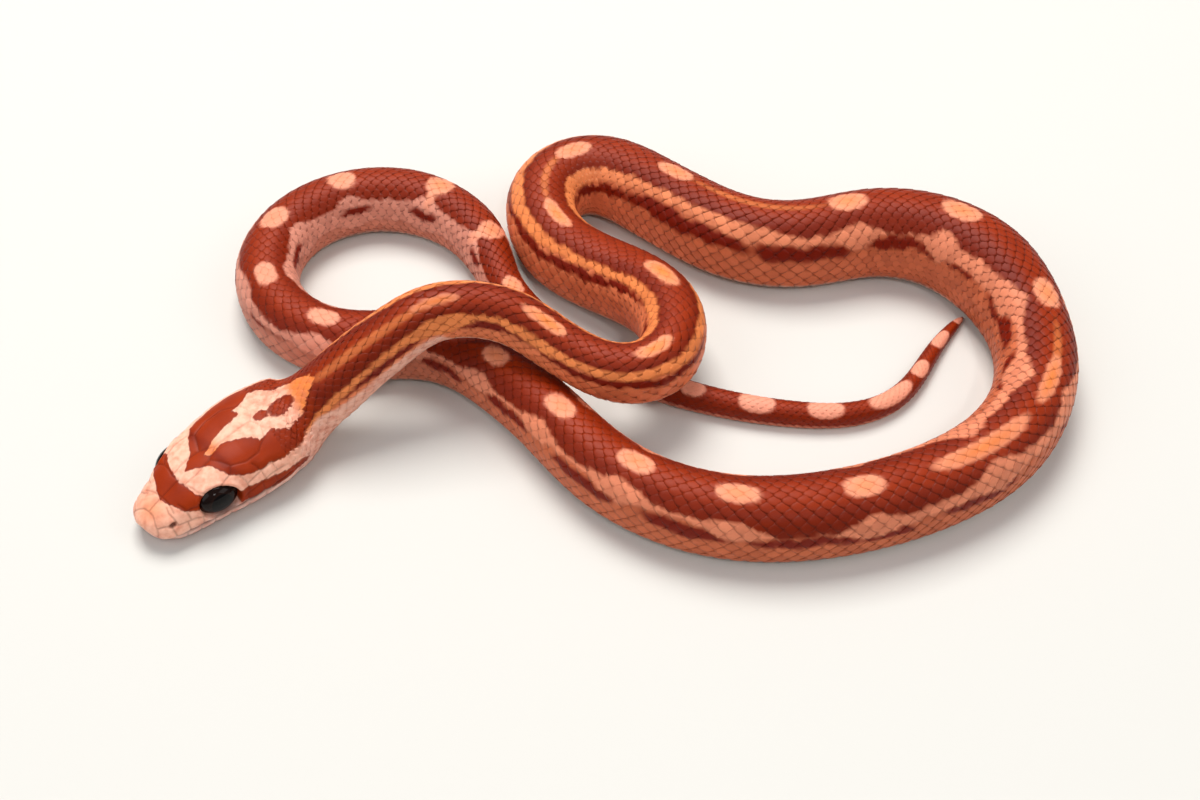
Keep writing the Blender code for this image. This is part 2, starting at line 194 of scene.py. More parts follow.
def swelling(at, angle, centre, centre_angle, reach, spread):
    """A soft rise on the head, the same on both sides."""
    turn = np.degrees(angle)
    nearest = np.minimum(np.abs(turn - centre_angle), np.abs(turn - (180.0 - centre_angle)))
    return np.exp(-((at - centre) / reach) ** 2 - (nearest / spread) ** 2)


def head_section(at, angle):
    """Offset to the left and height above the belly line of the head."""
    half_width = glide(HEAD_HALF_WIDTH, at) * dome(at, SNOUT_ROUNDING, SNOUT_ROUNDNESS)
    tip = SNOUT_TIP_HEIGHT
    lip = tip + (glide(LIP_HEIGHT, at) - tip) * dome(at, LIP_ROUNDING, 2.0)
    crown = tip + (glide(CROWN_HEIGHT, at) - tip) * dome(at, BRIDGE_ROUNDING, 2.0)
    side, rise = np.cos(angle), np.sin(angle)
    crown_power = 2.0 / glide(CROWN_SQUARENESS, at)
    shaped = half_width + BROW_RISE * swelling(at, angle, *BROW)
    shaped = shaped - LOREAL_SINK * swelling(at, angle, *LOREAL)
    top_left = shaped * signed_power(side, crown_power)
    top_height = lip + (crown - lip) * np.abs(rise) ** crown_power
    chin = dome(at - CHIN_SET_BACK, CHIN_ROUNDING, 2.0)
    jaw_power = 2.0 / BELLY_SQUARENESS
    jaw = np.maximum(half_width - JAW_INSET, 0.0) * dome(
        at - CHIN_SET_BACK, SNOUT_ROUNDING, SNOUT_ROUNDNESS)
    depth = lip * chin * BELLY_FULLNESS * np.abs(rise) ** jaw_power
    jaw_height = np.maximum(lip - depth, lip * (1.0 - chin))
    above = rise >= 0.0
    return (
        np.where(above, top_left, jaw * signed_power(side, jaw_power)),
        np.where(above, top_height, jaw_height),
    )


def section(at, angle):
    """Head shape at the front, body shape behind, and a blend of the two at the nape."""
    blend = smooth((at - NECK_BLEND_START) / (HEAD_END - NECK_BLEND_START))
    head_left, head_height = head_section(np.minimum(at, HEAD_END), angle)
    body_left, body_height = body_section(at, angle)
    return (
        head_left + (body_left - head_left) * blend,
        head_height + (body_height - head_height) * blend,
    )


# Places along the route, closest at the snout, where the form changes fastest
stations = np.concatenate((
    HEAD_KNOTS_END * np.linspace(0.0, 1.0, HEAD_KNOTS + 1)[:-1] ** 2,
    np.arange(HEAD_KNOTS_END, TOTAL_LENGTH, KNOT_STEP),
))
stations = np.append(stations, TOTAL_LENGTH)
fine = np.linspace(0.0, TOTAL_LENGTH, ROUTE_KNOTS)
middle = (fine[1:] + fine[:-1]) / 2
step = fine[1] - fine[0]
route_x = SNOUT_AT[0] + np.concatenate(([0.0], np.cumsum(np.cos(heading_at(middle)) * step)))
route_y = SNOUT_AT[1] + np.concatenate(([0.0], np.cumsum(np.sin(heading_at(middle)) * step)))


def frame_at(at):
    """Belly point, direction to the tail, the animal's left, and up, along the route."""
    at = np.asarray(at, float)
    heading = heading_at(at)
    pitch = np.arctan2(glide(BELLY_LIFT, at + 0.1) - glide(BELLY_LIFT, at - 0.1), 0.2)
    flat = np.zeros_like(at)
    along = np.stack(
        (np.cos(heading) * np.cos(pitch), np.sin(heading) * np.cos(pitch), np.sin(pitch)), -1)
    left = np.stack((np.sin(heading), -np.cos(heading), flat), -1)
    point = np.stack(
        (np.interp(at, fine, route_x), np.interp(at, fine, route_y), glide(BELLY_LIFT, at)), -1)
    return point, along, left, np.cross(left, along)


# The surface as a net: along the route, and round the girth from the belly over the animal's
# right side (-1), the back (0) and its left side to the belly again (1)
ROUND = np.linspace(-1.0, 1.0, GIRTH_KNOTS)
angles = np.radians(np.linspace(270.0, -90.0, ANGLE_KNOTS))
point, along, left, up = frame_at(stations)
offset, height = section(stations[:, None], angles[None, :])
ring_lengths = np.hypot(np.diff(offset, axis=1), np.diff(height, axis=1))
measured = np.concatenate((np.zeros((len(stations), 1)), np.cumsum(ring_lengths, axis=1)), axis=1)
measured -= measured[:, [ANGLE_KNOTS // 2]]
half_girth = np.maximum((measured[:, -1] - measured[:, 0]) / 2, 1e-6)
net_angle = np.empty((len(stations), len(ROUND)))
net_left = np.empty_like(net_angle)
net_height = np.empty_like(net_angle)
for i, marks in enumerate(measured):
    share = np.where(marks < 0.0, marks / max(-marks[0], 1e-6), marks / max(marks[-1], 1e-6))
    net_angle[i] = np.interp(ROUND, share, angles)
    net_left[i] = np.interp(ROUND, share, offset[i])
    net_height[i] = np.interp(ROUND, share, height[i])
net = point[:, None] + net_left[..., None] * left[:, None] + net_height[..., None] * up[:, None]
net_out = np.cross(np.gradient(net, axis=0), np.gradient(net, axis=1))
net_out /= np.maximum(np.linalg.norm(net_out, axis=2, keepdims=True), 1e-9)
inward = ((net - net.mean(axis=1, keepdims=True)) * net_out).sum(axis=2).mean() < 0.0
net_out *= -1.0 if inward else 1.0
net_out[0] = -along[0]


def from_net(table, at, around):
    """Values of a table on the net, at places between its knots."""
    i = np.interp(at, stations, np.arange(len(stations)))
    j = np.interp(around, ROUND, np.arange(len(ROUND)))
    i0 = np.minimum(i.astype(int), len(stations) - 2)
    j0 = np.minimum(j.astype(int), len(ROUND) - 2)
    u, v = i - i0, j - j0
    if table.ndim == 3:
        u, v = u[..., None], v[..., None]
    near = table[i0, j0] * (1 - v) + table[i0, j0 + 1] * v
    far = table[i0 + 1, j0] * (1 - v) + table[i0 + 1, j0 + 1] * v
    return near * (1 - u) + far * u


def girth_at(at):
    return np.interp(at, stations, half_girth) * 2


# Markings: a brick red back with pale oval spots along its middle, a pink band on each side
# that rises beside each spot, dark blotches under the band, a rosy flank and a cream belly.
# They are worked out from these places, alike for the skin and for the scales on it.
BACK_LINE = (
    (0.0, 0.0), (3.0, 0.03), (16.0, 0.05), (22.0, 0.06), (26.0, 0.10), (31.5, 0.13), (36.0, 0.08),
    (40.4, 0.04), (51.3, 0.035), (61.8, 0.055), (77.5, 0.03), (89.3, 0.03), (101.4, -0.06),
    (120.9, -0.03), (132.2, -0.03), (144.3, -0.10), (155.0, -0.09), (165.0, -0.065),
    (176.6, -0.03), (187.3, -0.02), (196.6, 0.015), (206.0, 0.0), (214.8, -0.03), (224.0, 0.0),
    (241.9, 0.0), (250.3, -0.025), (258.9, 0.0), (269.4, -0.05), (277.1, -0.10), (284.4, 0.0),
    (TOTAL_LENGTH, 0.04),
)
# spots on the back: place, half length, half width as a share of the half girth, warmth, strength
BACK_SPOTS = (
    (31.5, 1.5, 0.060, 1.0, 0.7), (40.4, 2.2, 0.088, 1.0, 1.0), (51.3, 1.9, 0.078, 1.0, 1.0),
    (61.8, 2.2, 0.098, 1.0, 1.0), (77.5, 2.7, 0.062, 0.9, 1.0), (89.3, 2.1, 0.078, 0.6, 1.0),
    (101.4, 2.1, 0.078, 0.7, 1.0), (120.9, 2.0, 0.095, 0.7, 1.0), (132.2, 2.0, 0.095, 0.7, 1.0),
    (144.3, 1.7, 0.105, 0.7, 1.0), (154.8, 3.0, 0.060, 1.0, 0.85), (165.0, 5.4, 0.072, 0.9, 0.85),
    (176.6, 1.8, 0.095, 0.6, 1.0), (187.3, 1.9, 0.085, 0.6, 1.0), (196.6, 1.8, 0.095, 0.6, 1.0),
    (206.0, 1.7, 0.105, 0.5, 1.0), (214.8, 1.4, 0.095, 0.6, 1.0), (224.0, 1.6, 0.095, 0.4, 1.0),
    (232.9, 1.6, 0.095, 0.2, 1.0), (241.9, 1.6, 0.105, 0.2, 1.0), (250.3, 1.6, 0.125, 0.3, 1.0),
    (258.9, 1.4, 0.135, 0.3, 1.0), (269.4, 1.35, 0.15, 0.6, 1.0), (277.1, 1.1, 0.16, 0.6, 1.0),
    (284.4, 1.3, 0.16, 0.6, 1.0), (291.6, 1.2, 0.18, 0.1, 1.0), (298.9, 1.3, 0.20, 0.1, 1.0),
    (306.2, 1.2, 0.22, 0.1, 1.0), (312.3, 1.7, 0.30, 0.0, 1.0), (318.7, 1.7, 0.30, 0.0, 1.0),
    (325.5, 2.6, 0.30, 0.1, 1.0), (330.4, 1.2, 0.30, 0.1, 1.0), (335.4, 1.4, 0.34, 0.0, 1.0),
    (339.6, 0.9, 0.40, 0.0, 1.0),
)
# dark blotches on each side: place, half length, distance from the line of the back, half height
SIDE_BLOTCHES = (
    (26.5, 4.2, 0.375, 0.045), (35.5, 4.0, 0.36, 0.06), (48.0, 8.0, 0.365, 0.045),
    (71.0, 13.0, 0.345, 0.04), (91.0, 8.5, 0.39, 0.045), (105.0, 7.0, 0.375, 0.065),
    (116.0, 4.0, 0.385, 0.07), (125.2, 4.4, 0.37, 0.05), (134.0, 5.2, 0.375, 0.055),
    (146.0, 4.2, 0.40, 0.065), (154.5, 3.0, 0.35, 0.04), (167.0, 3.6, 0.38, 0.05),
    (176.2, 3.2, 0.42, 0.06), (182.2, 4.2, 0.40, 0.045), (190.8, 3.6, 0.38, 0.06),
    (200.0, 3.4, 0.39, 0.05), (210.0, 3.4, 0.37, 0.05), (219.6, 3.0, 0.40, 0.05),
    (228.4, 2.6, 0.38, 0.04), (237.6, 2.8, 0.32, 0.05), (246.3, 2.8, 0.39, 0.04),
    (259.3, 2.3, 0.385, 0.04), (269.2, 2.0, 0.40, 0.05), (279.0, 1.2, 0.38, 0.045),
)
BAND_INNER = (
    (18.0, 0.32), (22.0, 0.29), (28.0, 0.24), (31.5, 0.205), (36.0, 0.235), (46.0, 0.22),
    (56.0, 0.20), (64.0, 0.235), (80.0, 0.19), (98.0, 0.225), (110.0, 0.20), (116.0, 0.26),
    (126.0, 0.31), (138.0, 0.28), (150.0, 0.245), (162.0, 0.20), (172.0, 0.28), (182.5, 0.35),
    (192.0, 0.27), (220.0, 0.30), (246.0, 0.27), (254.0, 0.32), (264.0, 0.30), (283.0, 0.32),
    (TOTAL_LENGTH, 0.42),
)
BAND_OUTER = (
    (18.0, 0.42), (22.0, 0.37), (28.0, 0.33), (31.5, 0.46), (35.0, 0.31), (40.0, 0.37),
    (46.0, 0.31), (60.0, 0.32), (72.0, 0.285), (88.0, 0.335), (106.0, 0.29), (112.0, 0.34),
    (126.0, 0.32), (139.0, 0.40), (148.0, 0.31), (162.0, 0.30), (174.0, 0.37), (183.0, 0.345),
    (192.0, 0.31), (230.0, 0.33), (240.0, 0.36), (250.0, 0.50), (TOTAL_LENGTH, 0.60),
)
BELLY_EDGE = 0.70
# marks on the head: outlines as places and shares of the half girth, left side positive
SNOUT_BAND = (
    (2.25, 0.04), (2.6, 0.20), (3.0, 0.31), (3.5, 0.35), (4.1, 0.39), (4.6, 0.44), (5.2, 0.42),
    (4.95, 0.335), (4.5, 0.27), (4.3, 0.15), (4.25, 0.05), (4.45, -0.05), (4.8, -0.14),
    (5.2, -0.20), (5.5, -0.26), (5.2, -0.36), (4.6, -0.36), (4.0, -0.30), (3.6, -0.23),
    (3.1, -0.15), (2.6, -0.05),
)
CROWN_MARK = (
    (5.25, 0.025), (6.2, 0.085), (6.9, 0.13), (7.25, 0.21), (7.6, 0.28), (8.5, 0.335), (9.6, 0.36),
    (11.0, 0.37), (12.0, 0.36), (13.4, 0.385), (15.0, 0.385), (17.0, 0.40), (18.6, 0.385),
    (20.0, 0.34), (23.5, 0.33), (23.5, -0.22), (20.0, -0.24), (18.0, -0.29), (15.0, -0.29),
    (11.0, -0.28), (9.5, -0.265), (8.5, -0.24), (7.7, -0.18), (7.1, -0.10), (6.6, -0.05),
    (6.0, -0.02),
)
PALE_SPEAR = (
    (7.35, 0.035), (7.5, 0.075), (8.1, 0.075), (9.0, 0.055), (9.9, 0.095), (11.0, 0.125),
    (12.0, 0.165), (12.5, 0.21), (13.4, 0.20), (14.3, 0.185), (15.0, 0.215), (16.2, 0.255),
    (18.0, 0.27), (19.2, 0.28), (20.2, 0.21), (21.1, 0.13), (21.8, 0.07), (21.5, -0.01),
    (20.6, -0.08), (19.4, -0.10), (18.0, -0.14), (16.7, -0.10), (16.0, -0.14), (15.2, -0.19),
    (14.4, -0.20), (13.5, -0.14), (12.2, -0.11), (12.5, -0.06), (11.5, -0.04), (10.0, -0.035),
    (9.0, -0.02), (8.2, 0.01),
)
CHEEK_STRIPE = (
    (7.2, 0.455), (8.0, 0.435), (10.0, 0.45), (12.0, 0.465), (14.0, 0.485), (15.6, 0.50),
    (16.8, 0.525), (16.2, 0.555), (14.0, 0.555), (12.0, 0.56), (10.0, 0.565), (8.6, 0.56),
    (7.4, 0.53),
)
NECK_SIDE = (
    (16.0, 0.425), (18.5, 0.41), (20.0, 0.40), (21.5, 0.47), (24.0, 0.52), (28.0, 0.54),
    (31.0, 0.56), (32.0, 0.72), (16.0, 0.72),
)
# rust spots in the spear: place, half length, distance from the middle, half width
SPEAR_SPOTS = ((17.2, 2.0, 0.075, 0.065), (14.2, 0.75, 0.05, 0.03))
# faint orange traces between the spots: place, half length, distance from the back line, half width
TRACES = (
    (84.0, 4.0, 0.0, 0.03), (111.0, 7.0, 0.0, 0.03), (152.0, 4.0, 0.0, 0.035),
    (26.5, 5.0, 0.03, 0.05),
)
TRACE_STRENGTH = 0.5
# millimetres to one half girth on the head, near enough to measure the edges of its marks
MARK_SCALE = 14.0
OVAL_SQUARENESS = 2.4
# the band rises beside each spot over the first stretch, and the spots join it over the second
RISING = (112.0, 283.0)
JOINING = (266.0, 283.0)
INNER_RISE = 0.085
OUTER_RISE = 0.08
RISE_REACH = 1.9
# changes along the body: start and length
HEAD_PALE_END = (17.6, 1.4)
HEAD_RUST_END = (20.5, 1.5)
GREY_LIP_END = (15.0, 3.0)
SPEAR_ORANGE = (18.3, 1.6)
HEAD_MARKS_END = 33.0
FRONT_END = (70.0, 60.0)
HIND_START = (205.0, 35.0)
PALER_START = (225.0, 30.0)
BLOTCHES_OVER_BAND = (238.0, 6.0)
BAND_END = (284.0, 6.0)


def oval(at, across, centre, half_length, centre_across, half_width, softness):
    """1 inside an oval mark and 0 outside it."""
    reach = np.abs((at - centre) / half_length) ** OVAL_SQUARENESS
    reach = reach + np.abs((across - centre_across) / half_width) ** OVAL_SQUARENESS
    return smooth((1.0 - reach ** (1 / OVAL_SQUARENESS)) / softness + 0.5)


def gap_to_line(at, across, start, end):
    """Distance of places from the straight line between two points."""
    (a0, b0), (a1, b1) = start, end
    share = ((at - a0) * (a1 - a0) + (across - b0) * (b1 - b0)) / ((a1 - a0) ** 2 + (b1 - b0) ** 2)
    share = np.clip(share, 0.0, 1.0)
    return np.hypot(at - a0 - share * (a1 - a0), across - b0 - share * (b1 - b0))


def outlined(at, around, outline, softness):
    """1 inside a closed outline and 0 outside it, soft over a distance in millimetres."""
    inside = np.zeros(at.shape, bool)
    nearest = np.full(at.shape, FAR_AWAY)
    across = around * MARK_SCALE
    for (a0, g0), (a1, g1) in zip(outline, outline[1:] + outline[:1]):
        b0, b1 = g0 * MARK_SCALE, g1 * MARK_SCALE
        crosses = (b0 > across) != (b1 > across)
        span = b1 - b0 if b1 != b0 else 1.0
        inside ^= crosses & (at < a0 + (a1 - a0) * (across - b0) / span)
        nearest = np.minimum(nearest, gap_to_line(at, across, (a0, b0), (a1, b1)))
    return smooth(np.where(inside, nearest, -nearest) / softness + 0.5)


def wander(at, across, pace, seed):
    """A slow, even waver between -1 and 1, for edges that aren't ruled."""
    return (
        np.sin(at * pace + seed * 1.7 + 2.1 * np.sin(across * 9.0 + seed))
        + np.sin(at * pace * 2.3 + seed * 3.1 + 3.0 * across)
    ) / 2


def head_marks(at, around):
    """Shares of pale and rust on the head and nape, and how orange and how grey the pale is."""
    # a step that wavers keeps the edges of the marks from looking cut
    at = at + 0.07 * wander(at, around * 6.0, 5.0, 1.0)
    around = around + 0.005 * wander(around * 40.0, at, 1.6, 4.0)
    mirrored = np.where(around < 0.0, 0.10 - around, around)
    crown = outlined(at, around, CROWN_MARK, 0.16)
    spear = outlined(at, around, PALE_SPEAR, 0.14)
    for mark in SPEAR_SPOTS:
        spear *= 1.0 - oval(at, around, *mark, 0.3)
    rust = crown * (1.0 - spear)
    rust = np.maximum(rust, outlined(at, around, SNOUT_BAND, 0.14))
    rust = np.maximum(rust, outlined(at, mirrored, CHEEK_STRIPE, 0.16))
    side = outlined(at, mirrored, NECK_SIDE, 0.5)
    pale = np.maximum(1.0 - change(at, *HEAD_PALE_END), np.maximum(spear * (at > 12.0), side))
    rust *= 1.0 - change(at, *HEAD_RUST_END)
    tip = np.exp(-((at - 8.0) / 0.9) ** 2) * (np.abs(around - 0.045) < 0.12)
    rim = change(at, *SPEAR_ORANGE) * (np.abs(around - 0.05) < 0.24)
    ridge = np.exp(-((at - 1.2) / 1.1) ** 2 - ((around - 0.02) / 0.2) ** 2) * 0.55
    seam = np.exp(-((at - 8.0) / 0.35) ** 2) * 0.5 * (np.abs(around) < 0.3)
    warm = np.clip(tip + rim + ridge, 0.0, 1.0) * (1.0 - side)
    grey = smooth((np.abs(around) - 0.47) / 0.1) * (1.0 - change(at, *GREY_LIP_END))
    return (
        pale * (1.0 - rust), rust * (1.0 - 0.6 * seam), warm, np.clip(grey + side * 0.35, 0.0, 1.0),
    )


def markings(at, around):
    """How much of each marking, and of the painted shade down the sides of the back, there is at
    places on the skin.
    """
    turned = around - glide(BACK_LINE, at) * (1.0 - around ** 2)
    side = np.abs(turned)
    spot = np.zeros_like(at)
    warm = np.zeros_like(at)
    rise = np.zeros_like(at)
    for centre, half_length, half_width, warmth, strength in BACK_SPOTS:
        near = np.abs(at - centre) < half_length * 2.2 + 3.0
        here, across = at[near], turned[near]
        shape = oval(here, across, centre, half_length, 0.0, half_width, 0.22) * strength
        spot[near] = np.maximum(spot[near], shape)
        middle = np.exp(
            -((here - centre) / (half_length * 0.8)) ** 2 - (across / (half_width * 0.8)) ** 2)
        warm[near] = np.maximum(warm[near], warmth * (0.25 + 0.75 * middle))
        if RISING[0] < centre < RISING[1]:
            rise[near] = np.maximum(rise[near], np.exp(-((here - centre) / RISE_REACH) ** 2))
        if JOINING[0] < centre < JOINING[1]:
            link = oval(here, side[near], centre, 0.55, 0.2, 0.14, 0.5)
            spot[near] = np.maximum(spot[near], link)
    trace = sum(oval(at, turned, *mark, 0.8) for mark in TRACES)
    waver = 0.012 * wander(at, around, 1.3, 2.0)
    inner = glide(BAND_INNER, at) - INNER_RISE * rise + waver
    outer = glide(BAND_OUTER, at) + OUTER_RISE * rise + waver
    band = smooth((side - inner) / 0.02 + 0.5) * smooth((outer - side) / 0.02 + 0.5)
    band *= 1.0 - change(at, *BAND_END)
    flank = smooth((side - np.maximum(inner, outer)) / 0.03 + 0.5)
    dark = np.zeros_like(at)
    for centre, half_length, place, half_height in SIDE_BLOTCHES:
        near = np.abs(at - centre) < half_length * 1.4
        shift = 0.02 * wander(at[near], around[near], 0.9, centre)
        shape = oval(at[near], side[near] + shift, centre, half_length, place, half_height, 0.35)
        dark[near] = np.maximum(dark[near], shape)
    dark *= 1.0 - band * (1.0 - change(at, *BLOTCHES_OVER_BAND))
    belly = smooth((np.abs(around) - BELLY_EDGE + 0.02) / 0.06)
    # painted shade: the ground darkens down the sides of the back, away from its middle line, a
    # little less towards the tail
    deep = smooth((side - 0.05) / 0.14) * (1.0 - 0.35 * change(at, *PALER_START))
    fields = {
        "spot": spot, "warm": warm, "band": band, "flank": flank, "dark": dark, "belly": belly,
        "front": 1.0 - change(at, *FRONT_END), "hind": change(at, *HIND_START),
        "trace": np.clip(trace, 0.0, 1.0) * TRACE_STRENGTH, "deep": deep,
    }
    head = at < HEAD_MARKS_END
    for name, values in zip(("pale", "rust", "orange", "grey"), head_marks(at[head], around[head])):
        fields[name] = np.zeros_like(at)
        fields[name][head] = values
    return fields


# Skin: one soft skin over the whole animal, from the lips to the tip of the tail. It is bare on
# the head, where it forms plates with sunk seams, and lies under the scales everywhere else.
# It was drawn over the form ring by ring, so that it has no seam of its own.
SCALE_DEPTH = 0.1
HEAD_AROUND = 288
BODY_AROUND = 72
HEAD_SKIN_END = 17.0
EYE_AT = 6.1
EYE_HALF = (1.9, 1.6, 1.42)
EYE_SIDE = 2.6
EYE_HEIGHT = 2.95
EYE_TOE_IN = 12.0
NOSTRIL_AT = 1.6
# seams between the plates, as distance from the snout and distance from the middle of the crown
CROWN_SEAMS = (
    ((1.0, 0.0), (0.95, 0.6), (0.6, 1.3), (0.35, 2.1)),
    ((1.0, 0.0), (2.5, 0.0), (4.4, 0.0)),
    ((2.5, 0.0), (2.45, 0.9), (2.2, 1.9)),
    ((4.4, 0.0), (4.35, 0.8), (4.6, 1.6), (4.7, 2.3), (4.5, 3.3)),
    ((4.35, 0.8), (5.6, 0.95), (7.2, 0.75), (8.5, 0.0)),
    ((4.7, 2.3), (5.2, 2.95), (6.5, 3.3), (7.7, 3.1), (8.2, 2.5), (7.8, 1.6), (7.3, 0.7)),
    ((8.5, 0.0), (12.9, 0.0)),
    ((8.2, 2.5), (9.6, 3.1), (11.6, 3.1), (13.1, 2.2), (13.6, 0.9), (12.9, 0.0)),
)
# seams on the side of the head, as distance from the snout and distance above the lip
LIP_SEAMS = (
    ((0.5, 1.2), (2.0, 1.25), (3.6, 1.2), (4.6, 1.0)),
    ((8.0, 1.1), (9.6, 1.35), (11.4, 1.5), (13.2, 1.3), (14.6, 0.9)),
    ((1.5, 0.0), (1.45, 1.2)),
    ((2.7, 0.0), (2.75, 1.2)),
    ((3.9, 0.0), (4.0, 1.1)),
    ((5.2, 0.0), (5.3, 0.9)),
    ((6.6, 0.0), (6.7, 0.9)),
    ((8.1, 0.0), (8.3, 1.2)),
    ((9.8, 0.0), (10.0, 1.4)),
    ((11.7, 0.0), (11.9, 1.5)),
    ((2.0, 1.25), (1.9, 2.6), (2.1, 3.2)),
    ((3.1, 1.2), (3.1, 2.4), (2.9, 3.0)),
    ((3.1, 2.2), (4.4, 2.3)),
    ((8.5, 1.2), (8.6, 2.2), (8.3, 3.1)),
    ((8.6, 2.1), (10.4, 2.4), (12.2, 2.3), (14.0, 1.9)),
    ((10.4, 2.4), (10.6, 1.4)),
    ((12.2, 2.3), (12.4, 1.4)),
    ((9.9, 3.4), (10.4, 2.4)),
)
# seams on the lower jaw, as distance from the snout and distance below the lip
JAW_SEAMS = (
    ((1.2, 0.9), (3.0, 1.0), (6.0, 1.1), (9.0, 1.2), (12.5, 1.1)),
    ((1.3, 0.0), (1.2, 0.9)),
    ((2.4, 0.0), (2.4, 1.0)),
    ((3.6, 0.0), (3.6, 1.0)),
    ((4.9, 0.0), (5.0, 1.1)),
    ((6.4, 0.0), (6.5, 1.1)),
    ((8.1, 0.0), (8.2, 1.2)),
    ((10.0, 0.0), (10.1, 1.2)),
)
SEAM_HALF_WIDTH = 0.075
SEAM_DEPTH = 0.07
SEAM_SHADE = 0.45
PLATE_RISE = 0.05
PLATE_ROUNDING = 0.45
PLATES_END = (12.9, 1.8)
BARE_END = 15.5
SCALED_START = (12.5, 3.5)
# line of the mouth: half width, depth, half depth of the head, and where it starts and ends
MOUTH_HALF_WIDTH = 0.11
MOUTH_DEPTH = 0.2
MOUTH_RADIUS = 3.6
MOUTH_START = (0.2, 0.4)
MOUTH_END = (13.6, 0.8)
# eye socket and the raised rim round it, as shares of the size of the eye
SOCKET_DEPTH = 0.75
SOCKET_EDGE = 1.02
SOCKET_WALL = 0.12
RIM_AT = 1.11
RIM_HALF_WIDTH = 0.09
RIM_RISE = 0.12
NOSTRIL_ANGLE = 32.0
NOSTRIL_HALF = (0.34, 0.28)
NOSTRIL_RADIUS = 2.6
NOSTRIL_DEPTH = 0.4
FLOOR_GAP = 0.01


def lip_place(at):
    """Distance round the girth from the middle of the crown to the edge of the upper lip."""
    rows = np.interp(at, stations, np.arange(len(stations)))
    row = np.clip(np.round(rows).astype(int), 1, len(stations) - 1)
    place = [np.interp(0.0, net_angle[r][::-1], ROUND[::-1]) for r in np.atleast_1d(row)]
    return np.array(place).reshape(np.shape(at)) * girth_at(at) / 2


def seam_distance(at, around):
    """Distance to the nearest seam between plates, measured on the skin."""
    half = girth_at(at) / 2
    from_middle = np.abs(around - glide(BACK_LINE, at) * (1.0 - around ** 2)) * half
    from_back = np.abs(around) * half
    nearest = np.full(at.shape, FAR_AWAY)
    lines = [(from_middle, seam) for seam in CROWN_SEAMS]
    lines += [(from_back, [(a, float(lip_place(a)) - b) for a, b in seam]) for seam in LIP_SEAMS]
    lines += [(from_back, [(a, float(lip_place(a)) + b) for a, b in seam]) for seam in JAW_SEAMS]
    for across, line in lines:
        for start, end in zip(line, line[1:]):
            nearest = np.minimum(nearest, gap_to_line(at, across, start, end))
    return nearest


def eye_frame(side):
    """Centre of an eye, and its directions lengthwise, outward and up."""
    point, along, left, up = frame_at(EYE_AT)
    outward = left * side
    toe_in = math.radians(EYE_TOE_IN)
    pointing = outward * math.cos(toe_in) - along * math.sin(toe_in)
    lengthwise = along * math.cos(toe_in) + outward * math.sin(toe_in)
    return point + outward * EYE_SIDE + up * EYE_HEIGHT, lengthwise, pointing, up


def shaped_skin(at, around):
    """Places of skin points, with the plates, eye sockets, nostrils and line of the mouth, and the
    painted shade that darkens the seams, the line of the mouth and the nostrils.
    """
    place = from_net(net, at, around)
    out = from_net(net_out, at, around)
    out /= np.maximum(np.linalg.norm(out, axis=1, keepdims=True), 1e-9)
    lift = -SCALE_DEPTH * change(at, *SCALED_START)
    bare = at < BARE_END
    # painted shade, darkest in the sunk seams between the plates, the line of the mouth and the
    # nostril pits
    crease = np.zeros_like(at)
    distance = seam_distance(at[bare], around[bare])
    fade = 1.0 - change(at[bare], *PLATES_END)
    seam = np.exp(-(distance / SEAM_HALF_WIDTH) ** 2) * fade
    plate = 1.0 - np.exp(-(distance / PLATE_ROUNDING) ** 2)
    lift[bare] += fade * PLATE_RISE * plate - SEAM_DEPTH * seam
    crease[bare] = SEAM_SHADE * seam
    angle = from_net(net_angle, at, around)
    mouth = np.minimum(np.abs(angle), np.abs(angle - math.pi)) * MOUTH_RADIUS
    mouth = np.exp(-(mouth / MOUTH_HALF_WIDTH) ** 2)
    mouth *= (1.0 - change(at, *MOUTH_END)) * change(at, *MOUTH_START)
    lift -= MOUTH_DEPTH * mouth
    crease = np.maximum(crease, mouth)
    rim = np.zeros_like(at)
    pit = np.zeros_like(at)
    for side in (1.0, -1.0):
        centre, lengthwise, pointing, up = eye_frame(side)
        reach = place - centre
        ring = np.hypot(reach @ lengthwise / EYE_HALF[0], reach @ up / EYE_HALF[2])
        outside = reach @ pointing > 0.0
        sunk = smooth((SOCKET_EDGE - ring) / SOCKET_WALL)
        lift -= np.where(outside, SOCKET_DEPTH * sunk, 0.0)
        raised = np.exp(-((ring - RIM_AT) / RIM_HALF_WIDTH) ** 2)
        rim = np.maximum(rim, np.where(outside, raised, 0.0))
        nostril_angle = math.radians(NOSTRIL_ANGLE if side > 0 else 180.0 - NOSTRIL_ANGLE)
        from_nostril = np.hypot(
            (at - NOSTRIL_AT) / NOSTRIL_HALF[0],
            (angle - nostril_angle) * NOSTRIL_RADIUS / NOSTRIL_HALF[1],
        )
        pit = np.maximum(pit, np.exp(-from_nostril ** 4))
    lift += RIM_RISE * rim * (at < 12.0) - NOSTRIL_DEPTH * pit
    place = place + out * lift[:, None]
    place[:, 2] = np.maximum(place[:, 2], FLOOR_GAP)
    # the second value is the painted shade of the seams, the mouth and the nostrils
    return place, np.clip(crease + pit, 0.0, 1.0)


